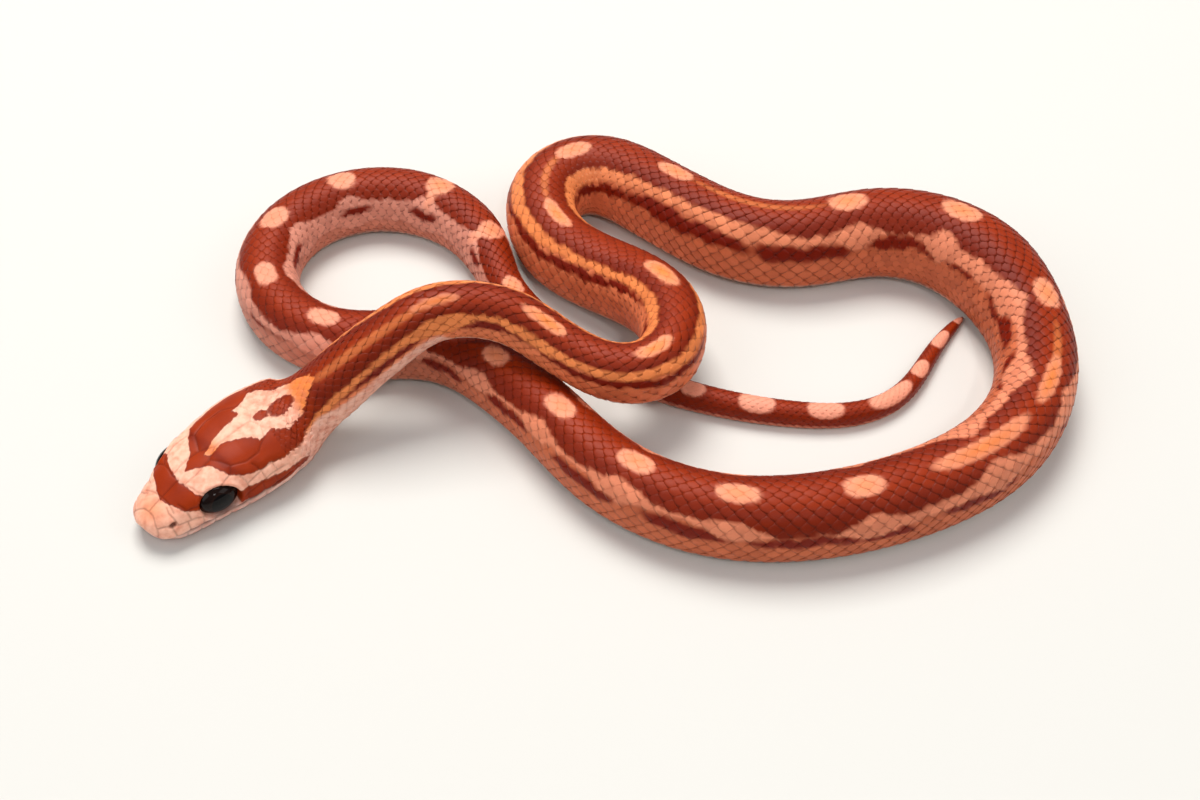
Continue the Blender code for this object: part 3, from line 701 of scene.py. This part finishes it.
head_share = np.linspace(0.0, 1.0, 165)
head_rows = HEAD_SKIN_END * (0.35 * head_share + 0.65 * head_share ** 1.9)
body_rows = np.linspace(HEAD_SKIN_END, TOTAL_LENGTH - 0.05, 590)[1:]
rings = [(np.array([0.0]), np.array([0.0]))]
for rows, count in ((head_rows[1:], HEAD_AROUND), (body_rows, BODY_AROUND)):
    rings += [(np.full(count, at), np.linspace(-1.0, 1.0, count + 1)[:-1]) for at in rows]
rings.append((np.array([TOTAL_LENGTH]), np.array([0.0])))
skin_at = np.concatenate([ats for ats, _ in rings])
skin_around = np.concatenate([arounds for _, arounds in rings])
skin_place, skin_crease_shade = shaped_skin(skin_at, skin_around)
starts = np.concatenate(([0], np.cumsum([len(ats) for ats, _ in rings])))
skin_place[-1] = skin_place[starts[-3]:starts[-2]].mean(axis=0)
faces = []
for row in range(len(rings) - 1):
    here, there = starts[row], starts[row + 1]
    count, following = len(rings[row][0]), len(rings[row + 1][0])
    if count == 1:
        faces += [(here, there + i, there + (i + 1) % following) for i in range(following)]
    elif following == 1:
        faces += [(here + (i + 1) % count, here + i, there) for i in range(count)]
    elif count == following:
        faces += [
            (here + (i + 1) % count, here + i, there + i, there + (i + 1) % count)
            for i in range(count)
        ]
    else:
        many = count // following
        for i in range(following):
            near, far = there + i, there + (i + 1) % following
            edge = [here + (i * many + k) % count for k in range(many + 1)]
            for k in range(many):
                faces.append((edge[k + 1], edge[k], near if k < many // 2 else far))
            faces.append((edge[many // 2], near, far))


def store(mesh, name, values):
    """Keeps one number for each point of a mesh."""
    attribute = mesh.attributes.new(name, "FLOAT", "POINT")
    attribute.data.foreach_set("value", np.asarray(values, np.float32))


def smooth_mesh(name, points, faces):
    """A smooth mesh from points in metres, with its faces turned outward."""
    mesh = bpy.data.meshes.new(name)
    mesh.from_pydata(np.asarray(points).tolist(), [], faces)
    work = bmesh.new()
    work.from_mesh(mesh)
    bmesh.ops.recalc_face_normals(work, faces=work.faces)
    work.to_mesh(mesh)
    work.free()
    mesh.shade_smooth()
    return mesh


def placed(name, data):
    """An object in the scene that shows a mesh, a light or a camera."""
    thing = bpy.data.objects.new(name, data)
    bpy.context.scene.collection.objects.link(thing)
    return thing


skin_mesh = smooth_mesh("skin", skin_place * METRES, faces)
for name, values in markings(skin_at, skin_around).items():
    store(skin_mesh, name, values)
# painted shade in the seams of the head plates, the line of the mouth and the nostrils
store(skin_mesh, "crease", skin_crease_shade)
store(skin_mesh, "rim", np.where(skin_at > 14.5, 0.85, 0.0))
store(skin_mesh, "tint", np.zeros(len(skin_at)))
skin = placed("skin", skin_mesh)


class Strand:
    """One output of a shader node; sums on it add the Math nodes."""

    def __init__(self, finish, socket):
        self.finish = finish
        self.socket = socket

    def sum(self, operation, first, second):
        return self.finish.node("ShaderNodeMath", {"operation": operation}, {0: first, 1: second})

    def __add__(self, other):
        return self.sum("ADD", self, other)

    def __radd__(self, other):
        return self.sum("ADD", other, self)

    def __sub__(self, other):
        return self.sum("SUBTRACT", self, other)

    def __rsub__(self, other):
        return self.sum("SUBTRACT", other, self)

    def __mul__(self, other):
        return self.sum("MULTIPLY", self, other)

    def __rmul__(self, other):
        return self.sum("MULTIPLY", other, self)


class Finish:
    """A material being made; node() adds any node and gives back one of its outputs."""

    def __init__(self, name):
        self.material = bpy.data.materials.new(name)
        self.material.use_nodes = True
        self.tree = self.material.node_tree
        self.tree.nodes.clear()

    def node(self, kind, settings=None, sockets=None, output=0):
        made = self.tree.nodes.new(kind)
        for name, value in (settings or {}).items():
            if name == "stops":
                ramp = made.color_ramp
                while len(ramp.elements) < len(value):
                    ramp.elements.new(0.5)
                for element, (place, colour) in zip(ramp.elements, value):
                    element.position = place
                    element.color = colour
            else:
                setattr(made, name, value)
        for name, value in (sockets or {}).items():
            if isinstance(value, Strand):
                self.tree.links.new(value.socket, made.inputs[name])
            else:
                made.inputs[name].default_value = value
        return Strand(self, made.outputs[output]) if len(made.outputs) else None

    def mark(self, name):
        return self.node("ShaderNodeAttribute", {"attribute_name": name}, output=2)

    def blend(self, amount, below, above):
        return self.node("ShaderNodeMix", {"data_type": "RGBA"}, {0: amount, 6: below, 7: above}, 2)

    def speckle(self, size, detail):
        place = self.node("ShaderNodeTexCoord", output=3)
        return self.node(
            "ShaderNodeTexNoise", {}, {"Vector": place, "Scale": size, "Detail": detail})


def tone(red, green, blue):
    """A colour as it is seen, from 0 to 255, made the light that a shader works in."""
    seen = [channel / 255 for channel in (red, green, blue)]
    return tuple(((c + 0.055) / 1.055) ** 2.4 if c > 10 / 255 else c / 12.92 for c in seen) + (1.0,)


BRICK = tone(157, 48, 4)
# a darker brick: painted shade down the sides of the back, and the darker of the random tones
BRICK_SHADE_AND_DARK_TONE = tone(108, 22, 0)
SPOT_SALMON = tone(238, 158, 130)
SPOT_ORANGE = tone(240, 134, 66)
BAND_PINK = tone(242, 146, 108)
BAND_ORANGE = tone(252, 146, 82)
BAND_ROSE = tone(234, 156, 132)
FLANK_ORANGE = tone(244, 136, 88)
FLANK_BROWN = tone(216, 114, 74)
FLANK_ROSE = tone(216, 134, 108)
BLOTCH = tone(124, 23, 0)
BELLY_CREAM = tone(236, 206, 188)
PALE_PINK = tone(255, 192, 164)
PALE_GREY = tone(238, 194, 178)
PALE_BLUSH = tone(216, 118, 88)
RUST = tone(163, 50, 0)
RUST_DEEP = tone(116, 25, 0)
# dark horn for the scale edges, and painted shade for the seams, mouth and nostrils
HORN_DARK_AND_SHADE = tone(62, 14, 2)


def snake_finish(name):
    """Skin and scales: horny, half glossy, with the markings, painted shade down the sides of the
    back and in the seams, mouth and nostrils of the head, and a darker edge to each scale.
    """
    finish = Finish(name)
    cloud = finish.speckle(420.0, 3.0)
    grain = finish.speckle(5200.0, 2.0)
    fleck = finish.speckle(1500.0, 2.0)
    front = finish.mark("front")
    hind = finish.mark("hind")
    spot = finish.mark("spot")
    # painted shade: the brick ground darkens down the sides of the back, mottled by the cloud
    ground = finish.blend(cloud * 0.5 + finish.mark("deep") * 0.62 - 0.12, BRICK, BRICK_SHADE_AND_DARK_TONE)
    colour = finish.blend(finish.mark("trace"), ground, BAND_ORANGE)
    flank = finish.blend(hind, finish.blend(front, FLANK_BROWN, FLANK_ORANGE), FLANK_ROSE)
    colour = finish.blend(finish.mark("flank"), colour, flank)
    band = finish.blend(hind, finish.blend(front, BAND_PINK, BAND_ORANGE), BAND_ROSE)
    colour = finish.blend(finish.mark("band"), colour, band)
    colour = finish.blend(finish.mark("dark"), colour, BLOTCH)
    pale_spot = finish.blend(finish.mark("warm"), SPOT_SALMON, SPOT_ORANGE)
    colour = finish.blend(spot, colour, pale_spot)
    colour = finish.blend(finish.mark("belly"), colour, BELLY_CREAM)
    pale = finish.blend(finish.mark("grey"), PALE_PINK, PALE_GREY)
    pale = finish.blend(finish.mark("orange"), pale, SPOT_ORANGE)
    pale = finish.blend(fleck * 1.7 - 0.66, pale, PALE_BLUSH)
    colour = finish.blend(finish.mark("pale"), colour, pale)
    rust = finish.blend(cloud * 1.1 - 0.25, RUST, RUST_DEEP)
    rust_mark = finish.mark("rust")
    colour = finish.blend(rust_mark, colour, rust)
    colour = finish.blend(rust_mark * (1.0 - rust_mark) * 2.8, colour, RUST_DEEP)
    light_mark = finish.node(
        "ShaderNodeMath", {"operation": "MAXIMUM"}, {0: spot, 1: finish.mark("pale")})
    uneven = finish.mark("tint") * 0.26 + grain * 0.1 + fleck * 0.12 - 0.06
    colour = finish.blend(uneven * (1.0 - 0.7 * light_mark), colour, BRICK_SHADE_AND_DARK_TONE)
    edge = finish.mark("rim")
    colour = finish.blend(edge * (0.44 - 0.36 * light_mark), colour, HORN_DARK_AND_SHADE)
    # painted shade in the seams between the head plates, the line of the mouth and the nostrils
    colour = finish.blend(finish.mark("crease") * 0.75, colour, HORN_DARK_AND_SHADE)
    relief = finish.node(
        "ShaderNodeBump", {}, {"Strength": 0.25, "Distance": 0.00003, "Height": grain})
    surface = finish.node(
        "ShaderNodeBsdfPrincipled",
        {},
        {
            "Base Color": colour,
            "Roughness": 0.40 + 0.14 * cloud,
            "Normal": relief,
            "Specular IOR Level": 0.15,
        },
    )
    finish.node("ShaderNodeOutputMaterial", {}, {"Surface": surface})
    return finish.material


skin_mesh.materials.append(snake_finish("snake_skin"))
flesh = [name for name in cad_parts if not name.startswith("eye")]
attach(skin, "root")
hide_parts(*flesh)

# Scales: overlapping horny scales in slanting rows over the back and sides, with their free tips
# towards the tail. Each has a low keel and a thin free edge, and its root is set in the skin.
# They are largest low on the flank at mid body and small on the nape and the tip of the tail.
SCALE_SEED = 7
# distance between neighbours in a lengthwise row
SCALE_PITCH = (
    (12.0, 0.78), (16.0, 0.84), (24.0, 0.96), (34.0, 1.18), (60.0, 1.22), (130.0, 1.24),
    (270.0, 1.18), (288.0, 0.98), (305.0, 0.86), (325.0, 0.72), (TOTAL_LENGTH, 0.5),
)
# distance between two rows at the middle of the back
ROW_WIDTH = (
    (12.0, 0.38), (24.0, 0.42), (34.0, 0.46), (50.0, 0.52), (80.0, 0.57), (130.0, 0.59),
    (262.0, 0.56), (285.0, 0.46), (300.0, 0.40), (320.0, 0.33), (TOTAL_LENGTH, 0.2),
)
# share by which rows grow wider from one to the next, down the side
WIDENING = 0.018
MOST_ROWS = 17
# row width at which a scale has its full thickness, and the least share of that thickness
FULL_WIDTH = 0.59
THINNEST = 0.4
SCALE_LENGTH = 1.32
ROOT_SHARE = 0.25
BELLY_LAP = 0.02
PATCH = 0.003
UNEVEN = 0.1
NAPE_START = 12.6
# the scales begin here in the middle of the nape, and further back beside it
SCALES_START = 13.1
SCALES_SET_BACK = 1.5
TAIL_TIP_BARE = 0.7
# how far the edge of a mark runs through a scale, from 0, where a scale is all one colour, to 1
MARK_RUN = 0.9
SCALE_PIECES = (
    ("neck_scales", 0.0, 60.0, "neck_skin"),
    ("fore_body_scales", 60.0, 122.0, "body_skin"),
    ("middle_scales", 122.0, 176.0, "body_skin"),
    ("rear_body_scales", 176.0, 230.0, "body_skin"),
    ("hind_body_scales", 230.0, 283.0, "body_skin"),
    ("tail_scales", 283.0, 345.0, "tail_skin"),
)
# outline of one scale: share of its length, and half width there
SCALE_OUTLINE = ((0.0, 0.42), (0.2, 0.80), (0.4, 1.0), (0.6, 0.87), (0.8, 0.53), (0.98, 0.12))
SCALE_ACROSS = (-1.0, -0.6, 0.0, 0.6, 1.0)
EDGE_THICKNESS = 0.04
ROOT_SUNK = 0.06
SLOPE = 0.125
ARCH = 0.06
KEEL = 0.02


def scale_pattern():
    """One scale a unit wide and a unit long, root at the origin, its tip along +Y."""
    points, rims, patches, quads = [], [], [], []
    for share, half in SCALE_OUTLINE:
        for across in SCALE_ACROSS:
            crown = ARCH * (1.0 - across ** 2) + KEEL * (abs(across) < 0.1)
            crown *= 0.5 + 0.5 * math.sin(math.pi * min(share * 1.1, 1.0))
            height = SLOPE * share ** 0.8 - ROOT_SUNK + crown
            points.append((across * half / 2, share, height))
            rims.append(max(abs(across) ** 4 * change(share, 0.1, 0.4), change(share, 0.82, 0.15)))
            patches.append((across * half / 2, share - 0.5, 0.0))
    columns = len(SCALE_ACROSS)
    for row in range(len(SCALE_OUTLINE) - 1):
        for column in range(columns - 1):
            a = row * columns + column
            quads.append((a, a + 1, a + columns + 1, a + columns))
    rows = len(SCALE_OUTLINE)
    border = [r * columns for r in range(rows)]
    border += [(rows - 1) * columns + c for c in range(1, columns)]
    border += [r * columns + columns - 1 for r in range(rows - 2, -1, -1)]
    border += [c for c in range(columns - 2, 0, -1)]
    under = {}
    for index in border:
        x, y, z = points[index]
        under[index] = len(points)
        points.append((x, y, z - EDGE_THICKNESS))
        rims.append(1.0)
        patches.append(patches[index])
    for here, there in zip(border, border[1:] + border[:1]):
        quads.append((here, there, under[there], under[here]))
    quads.append(tuple(under[index] for index in border))
    mesh = smooth_mesh("scale", [(x, y, z * METRES) for x, y, z in points], quads)
    store(mesh, "rim", rims)
    patch = mesh.attributes.new("patch", "FLOAT_VECTOR", "POINT")
    patch.data.foreach_set("vector", np.array(patches, np.float32).ravel())
    return bpy.data.objects.new("scale", mesh)


def scale_tree():
    """Sets one scale on each root point, along its lie, and gives it its place on the unwrap."""
    tree = bpy.data.node_groups.new("scales_on_roots", "GeometryNodeTree")
    for name, kind in (
        ("Roots", "Geometry"), ("Scale", "Object"), ("Patch", "Float"), ("Uneven", "Float"),
        ("Seed", "Int"), ("Finish", "Material"),
    ):
        tree.interface.new_socket(name, in_out="INPUT", socket_type="NodeSocket" + kind)
    tree.interface.new_socket("Scales", in_out="OUTPUT", socket_type="NodeSocketGeometry")

    def add(kind, settings=None, sockets=None):
        made = tree.nodes.new(kind)
        for name, value in (settings or {}).items():
            setattr(made, name, value)
        for name, value in (sockets or {}).items():
            if isinstance(value, bpy.types.NodeSocket):
                tree.links.new(value, made.inputs[name])
            else:
                made.inputs[name].default_value = value
        return made

    def root_value(name):
        read = add("GeometryNodeInputNamedAttribute", {"data_type": "FLOAT_VECTOR"}, {"Name": name})
        return read.outputs[0]

    given = add("NodeGroupInput").outputs
    turn = add("FunctionNodeAxesToRotation", {"primary_axis": "Z", "secondary_axis": "Y"},
               {"Primary Axis": root_value("out"), "Secondary Axis": root_value("lie")}).outputs[0]
    low = add("ShaderNodeMath", {"operation": "SUBTRACT"}, {0: 1.0, 1: given["Uneven"]}).outputs[0]
    high = add("ShaderNodeMath", {"operation": "ADD"}, {0: 1.0, 1: given["Uneven"]}).outputs[0]
    uneven = add("FunctionNodeRandomValue", {"data_type": "FLOAT"},
                 {2: low, 3: high, "Seed": given["Seed"]})
    factors = add("ShaderNodeCombineXYZ", {}, {0: 1.0, 1: 1.0, 2: uneven.outputs[1]})
    sized = add("ShaderNodeVectorMath", {"operation": "MULTIPLY"},
                {0: root_value("size"), 1: factors.outputs[0]}).outputs[0]
    shape = add("GeometryNodeObjectInfo", {}, {"Object": given["Scale"]}).outputs["Geometry"]
    copies = add("GeometryNodeInstanceOnPoints", {},
                 {"Points": given["Roots"], "Instance": shape,
                  "Rotation": turn, "Scale": sized}).outputs[0]
    real = add("GeometryNodeRealizeInstances", {}, {"Geometry": copies}).outputs[0]
    spread = add("ShaderNodeVectorMath", {"operation": "SCALE"},
                 {0: root_value("patch"), "Scale": given["Patch"]}).outputs[0]
    flat = add("ShaderNodeVectorMath", {"operation": "ADD"},
               {0: root_value("root"), 1: spread}).outputs[0]
    mapped = add("GeometryNodeStoreNamedAttribute", {"data_type": "FLOAT2", "domain": "CORNER"},
                 {"Geometry": real, "Name": "OFBake", "Value": flat}).outputs[0]
    finished = add("GeometryNodeSetMaterial", {},
                   {"Geometry": mapped, "Material": given["Finish"]}).outputs[0]
    add("NodeGroupOutput", {}, {0: finished})
    return tree


def grown(name, roots, pattern, tree, values):
    """The piece that a tree grows from its root points, as a plain mesh."""
    base = placed(name + "_roots", roots)
    grower = base.modifiers.new("grow", "NODES")
    grower.node_group = tree
    inputs = {
        item.name: item.identifier for item in tree.interface.items_tree if item.in_out == "INPUT"
    }
    for key, value in {**values, "Scale": pattern}.items():
        grower[inputs[key]] = value
    bpy.context.view_layer.update()
    evaluated = base.evaluated_get(bpy.context.evaluated_depsgraph_get())
    mesh = bpy.data.meshes.new_from_object(evaluated)
    base.modifiers.remove(grower)
    bpy.data.objects.remove(base)
    mesh.name = name
    return placed(name, mesh)


def three_numbers(mesh, name):
    """A vector kept for each point of a mesh."""
    rows = np.empty(len(mesh.vertices) * 3, np.float32)
    mesh.attributes[name].data.foreach_get("vector", rows)
    return rows.reshape(-1, 3).astype(float).T


def mark_scales(mesh):
    """Runs the markings through the scales of a piece, and lays the lowest tips on the floor."""
    at, around, half = three_numbers(mesh, "station")
    across, lengthwise, _ = three_numbers(mesh, "patch")
    width, length, _ = three_numbers(mesh, "size")
    at = at + length / METRES * (0.5 - ROOT_SHARE + MARK_RUN * lengthwise)
    around = np.clip(around + MARK_RUN * across * width / METRES / half, -1.0, 1.0)
    for key, rows in markings(np.clip(at, 0.0, TOTAL_LENGTH), around).items():
        store(mesh, key, rows)
    for key in ("out", "lie", "size", "root", "station", "patch"):
        mesh.attributes.remove(mesh.attributes[key])
    place = np.empty(len(mesh.vertices) * 3, np.float32)
    mesh.vertices.foreach_get("co", place)
    place[2::3] = np.maximum(place[2::3], FLOOR_GAP * METRES)
    mesh.vertices.foreach_set("co", place)
    mesh.update()


def lattice():
    """Places of all scale roots: along the route, round the girth, and the scale's row."""
    places = [NAPE_START]
    while places[-1] < TOTAL_LENGTH - TAIL_TIP_BARE:
        places.append(places[-1] + float(glide(SCALE_PITCH, places[-1])))
    found = []
    for here, there in zip(places, places[1:]):
        for row in range(-MOST_ROWS, MOST_ROWS + 1):
            at = here + (there - here) * (0.5 if row % 2 else 0.0)
            off = row * (1.0 + WIDENING * abs(row)) * float(glide(ROW_WIDTH, at))
            across = off / float(girth_at(at)) * 2
            if abs(across) < BELLY_EDGE + BELLY_LAP:
                found.append((at, across, row))
    return np.array(places), np.array(found)


belly_places, roots = lattice()
root_at, root_turned, root_row = roots.T
# the rows keep to the line of the back, which rolls a little from side to side
root_around = root_turned + glide(BACK_LINE, root_at) * (1.0 - root_turned ** 2)
back_of_head = SCALES_START + SCALES_SET_BACK * change(np.abs(root_around), 0.2, 0.3)
kept = root_at > back_of_head
root_at, root_around, root_row = root_at[kept], root_around[kept], root_row[kept]
pattern = scale_pattern()
tree = scale_tree()
scale_finish = snake_finish("snake_scales")
draw = np.random.default_rng(SCALE_SEED)
root_tint = draw.random(len(root_at))
for name, begin, end, slot in SCALE_PIECES:
    mine = (root_at >= begin) & (root_at < end)
    at, around = root_at[mine], root_around[mine]
    length = glide(SCALE_PITCH, at) * SCALE_LENGTH
    row_width = glide(ROW_WIDTH, at)
    width = row_width * (1.0 + 2 * WIDENING * np.abs(root_row[mine])) * 2
    place = from_net(net, at, around)
    out = from_net(net_out, at, around)
    out /= np.linalg.norm(out, axis=1, keepdims=True)
    lie = from_net(net, np.minimum(at + length * 0.7, TOTAL_LENGTH), around)
    lie -= from_net(net, at - 0.05, around)
    lie /= np.linalg.norm(lie, axis=1, keepdims=True)
    out -= lie * (lie * out).sum(axis=1, keepdims=True)
    out /= np.linalg.norm(out, axis=1, keepdims=True)
    mesh = bpy.data.meshes.new(name + "_roots")
    start = place - out * SCALE_DEPTH - lie * length[:, None] * ROOT_SHARE
    mesh.from_pydata((start * METRES).tolist(), [], [])
    thickness = np.clip(row_width / FULL_WIDTH, THINNEST, 1.0)
    for key, rows in (
        ("out", out),
        ("lie", lie),
        ("size", np.stack((width * METRES, length * METRES, thickness), 1)),
        # places on the unwrap, with a margin at its edges
        ("root", np.stack(
            ((at - begin) / (end - begin) * 0.98 + 0.01, around * 0.48 + 0.5, at * 0.0), 1)),
        ("station", np.stack((at, around, girth_at(at) / 2), 1)),
    ):
        attribute = mesh.attributes.new(key, "FLOAT_VECTOR", "POINT")
        attribute.data.foreach_set("vector", np.asarray(rows, np.float32).ravel())
    store(mesh, "tint", root_tint[mine])
    piece = grown(name, mesh, pattern, tree, {
        "Patch": PATCH, "Uneven": UNEVEN, "Seed": SCALE_SEED, "Finish": scale_finish,
    })
    mark_scales(piece.data)
    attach(piece, "root")

# Belly scutes: broad plates across the belly, one to each slanting row of scales, each lapping
# over the next one towards the tail. Under the tail they are divided in pairs.
SCUTE_ACROSS = 17
SCUTE_LAP = 1.35
SCUTE_END = BELLY_EDGE - 0.035
# profile of a scute: share of its length, and height over the skin
SCUTE_STEPS = ((0.0, 0.01), (0.55, 0.055), (1.0, 0.085), (1.0, 0.03))
SCUTES_START = 15.0
# how far the two halves of a divided scute lap over the middle of the tail
HALF_LAP = 0.005
# scutes are pressed flat where they lie on the floor
FLATTENED = 0.2
VENT_AT = 283.0
scute_points, scute_faces, scute_flat = [], [], []
scute_at, scute_around, scute_rim, scute_tint = [], [], [], []
spans = []
for here, there in zip(belly_places, belly_places[1:]):
    if here > VENT_AT:
        spans += [
            (here, there, SCUTE_END, 1.0 + HALF_LAP), (here, there, 1.0 - HALF_LAP, 2.0 - SCUTE_END)
        ]
    elif here > SCUTES_START:
        spans.append((here, there, SCUTE_END, 2.0 - SCUTE_END))
for number, (here, there, low, high) in enumerate(spans):
    across = np.linspace(low, high, SCUTE_ACROSS)
    bow = 1.0 - np.abs(np.linspace(-1.0, 1.0, SCUTE_ACROSS)) ** 3
    start = len(scute_points)
    cell = number / len(spans)
    tint = draw.random()
    for step, (share, raised) in enumerate(SCUTE_STEPS):
        reach = (there - here) * SCUTE_LAP * share * (0.86 + 0.14 * bow)
        at = np.minimum(here + reach, TOTAL_LENGTH)
        around = np.where(across > 1.0, across - 2.0, across)
        out = from_net(net_out, at, around)
        lifted = from_net(net, at, around) + out * (raised - SCALE_DEPTH)
        lifted[:, 2] = np.maximum(lifted[:, 2], raised * FLATTENED)
        scute_points += lifted.tolist()
        scute_at += at.tolist()
        scute_around += around.tolist()
        scute_rim += [share ** 6 * 0.5] * SCUTE_ACROSS
        scute_tint += [tint * 0.5] * SCUTE_ACROSS
        flat_at = cell + (0.1 + 0.2 * step) / len(spans)
        scute_flat += [(flat_at, (place - low) / (high - low)) for place in across]
    for row in range(len(SCUTE_STEPS) - 1):
        for column in range(SCUTE_ACROSS - 1):
            a = start + row * SCUTE_ACROSS + column
            scute_faces.append((a, a + 1, a + SCUTE_ACROSS + 1, a + SCUTE_ACROSS))
    last = start + (len(SCUTE_STEPS) - 1) * SCUTE_ACROSS
    for column in range(SCUTE_ACROSS - 1):
        scute_faces.append((last + column, last + column + 1, start + column + 1, start + column))
    rows = range(len(SCUTE_STEPS))
    scute_faces.append(tuple(start + row * SCUTE_ACROSS for row in reversed(rows)))
    scute_faces.append(tuple(start + row * SCUTE_ACROSS + SCUTE_ACROSS - 1 for row in rows))
scute_mesh = smooth_mesh("belly_scutes", np.array(scute_points) * METRES, scute_faces)
for name, values in markings(np.array(scute_at), np.array(scute_around)).items():
    store(scute_mesh, name, values)
store(scute_mesh, "rim", scute_rim)
store(scute_mesh, "tint", scute_tint)
unwrap = scute_mesh.uv_layers.new(name="OFBake")
corner = np.empty(len(scute_mesh.loops), int)
scute_mesh.loops.foreach_get("vertex_index", corner)
unwrap.data.foreach_set("uv", np.array(scute_flat)[corner].astype(np.float32).ravel())
scute_mesh.materials.append(scale_finish)
scutes = placed("belly_scutes", scute_mesh)
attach(scutes, "root")

# Eyes: large and lidless, each under a clear horny spectacle in a raised rim of small plates.
# The pupil is round and black, and the iris so dark a brown that it hardly stands out from it.
IRIS_REACH = 2.0
# power of the eye's bulge: 1 is an ellipsoid, and less is fuller at the edge
BULGE = 0.62


def eye_finish():
    finish = Finish("eye")
    radius = finish.mark("from_pupil")
    iris = finish.node("ShaderNodeValToRGB", {"stops": (
        (0.0, tone(4, 3, 3)),
        (0.47, tone(4, 3, 3)),
        (0.52, tone(36, 17, 10)),
        (0.60, tone(26, 11, 7)),
        (1.0, tone(13, 6, 4)),
    )}, {"Fac": radius})
    fleck = finish.speckle(2600.0, 3.0)
    colour = finish.blend(fleck * 0.5, iris, tone(16, 6, 5))
    surface = finish.node("ShaderNodeBsdfPrincipled", {}, {
        "Base Color": colour, "Roughness": 0.05, "IOR": 1.25,
    })
    finish.node("ShaderNodeOutputMaterial", {}, {"Surface": surface})
    return finish.material


eye_material = eye_finish()
for side, side_name in ((1.0, "left"), (-1.0, "right")):
    centre, lengthwise, pointing, up = (Vector(row) for row in eye_frame(side))
    work = bmesh.new()
    bmesh.ops.create_uvsphere(work, u_segments=64, v_segments=48, radius=1.0)
    from_pupil = []
    for vert in work.verts:
        x, y, z = vert.co
        radius = math.hypot(x * EYE_HALF[0], z * EYE_HALF[2]) / IRIS_REACH
        from_pupil.append(radius if y > 0.0 else 1.0)
        bulge = math.copysign(abs(y) ** BULGE, y)
        place = centre + lengthwise * (x * EYE_HALF[0]) + pointing * (bulge * EYE_HALF[1])
        vert.co = (place + up * (z * EYE_HALF[2])) * METRES
    bmesh.ops.recalc_face_normals(work, faces=work.faces)
    mesh = bpy.data.meshes.new("eye_" + side_name + "_glass")
    work.to_mesh(mesh)
    work.free()
    mesh.shade_smooth()
    store(mesh, "from_pupil", from_pupil)
    mesh.materials.append(eye_material)
    eye = placed("eye_" + side_name + "_glass", mesh)
    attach(eye, "root")
    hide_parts("eye_" + side_name)

# Floor, light and camera: a plain pale floor, soft light from above and behind, and the camera
# above the near side of the animal, looking down on it.
FLOOR_HALF = 1.5
floor_mesh = bpy.data.meshes.new("floor")
floor_mesh.from_pydata(
    [(-FLOOR_HALF, -FLOOR_HALF, 0.0), (FLOOR_HALF, -FLOOR_HALF, 0.0),
     (FLOOR_HALF, FLOOR_HALF, 0.0), (-FLOOR_HALF, FLOOR_HALF, 0.0)], [], [(0, 1, 2, 3)])
floor_finish = Finish("pale_floor")
floor_surface = floor_finish.node(
    "ShaderNodeBsdfPrincipled", {}, {"Base Color": tone(214, 212, 206), "Roughness": 0.8})
floor_finish.node("ShaderNodeOutputMaterial", {}, {"Surface": floor_surface})
floor_mesh.materials.append(floor_finish.material)
floor = placed("floor", floor_mesh)

# name, place, size, power and colour of each light
for name, place, size, power, colour in (
    ("key_light", (-0.06, 0.26, 0.55), 0.34, 4.1, (1.0, 0.98, 0.95)),
    ("fill_light", (-0.45, -0.25, 0.45), 0.5, 1.1, (0.95, 0.97, 1.0)),
    ("near_light", (0.10, -0.26, 0.40), 0.05, 0.3, (1.0, 1.0, 1.0)),
    ("side_light", (0.50, -0.10, 0.45), 0.4, 0.7, (1.0, 0.98, 0.96)),
):
    lamp = bpy.data.lights.new(name, "AREA")
    lamp.size = size
    lamp.energy = power
    lamp.color = colour
    light = placed(name, lamp)
    light.location = place
    light.rotation_euler = (-Vector(place)).to_track_quat("-Z", "Y").to_euler()

world = bpy.data.worlds.new("studio")
world.use_nodes = True
sky = world.node_tree.nodes["Background"].inputs
sky["Color"].default_value = (0.9, 0.93, 1.0, 1.0)
sky["Strength"].default_value = 0.3
bpy.context.scene.world = world
bpy.context.scene.view_settings.view_transform = "Standard"

CAMERA_PLACE = (-0.0024, -0.0951, 0.100)
CAMERA_PITCH = 41.5
lens = bpy.data.cameras.new("camera")
lens.sensor_width = 36.0
lens.lens = 42.0
lens.clip_start = 0.005
camera = placed("camera", lens)
camera.location = CAMERA_PLACE
camera.rotation_euler = (math.radians(CAMERA_PITCH), 0.0, 0.0)
bpy.context.scene.camera = camera
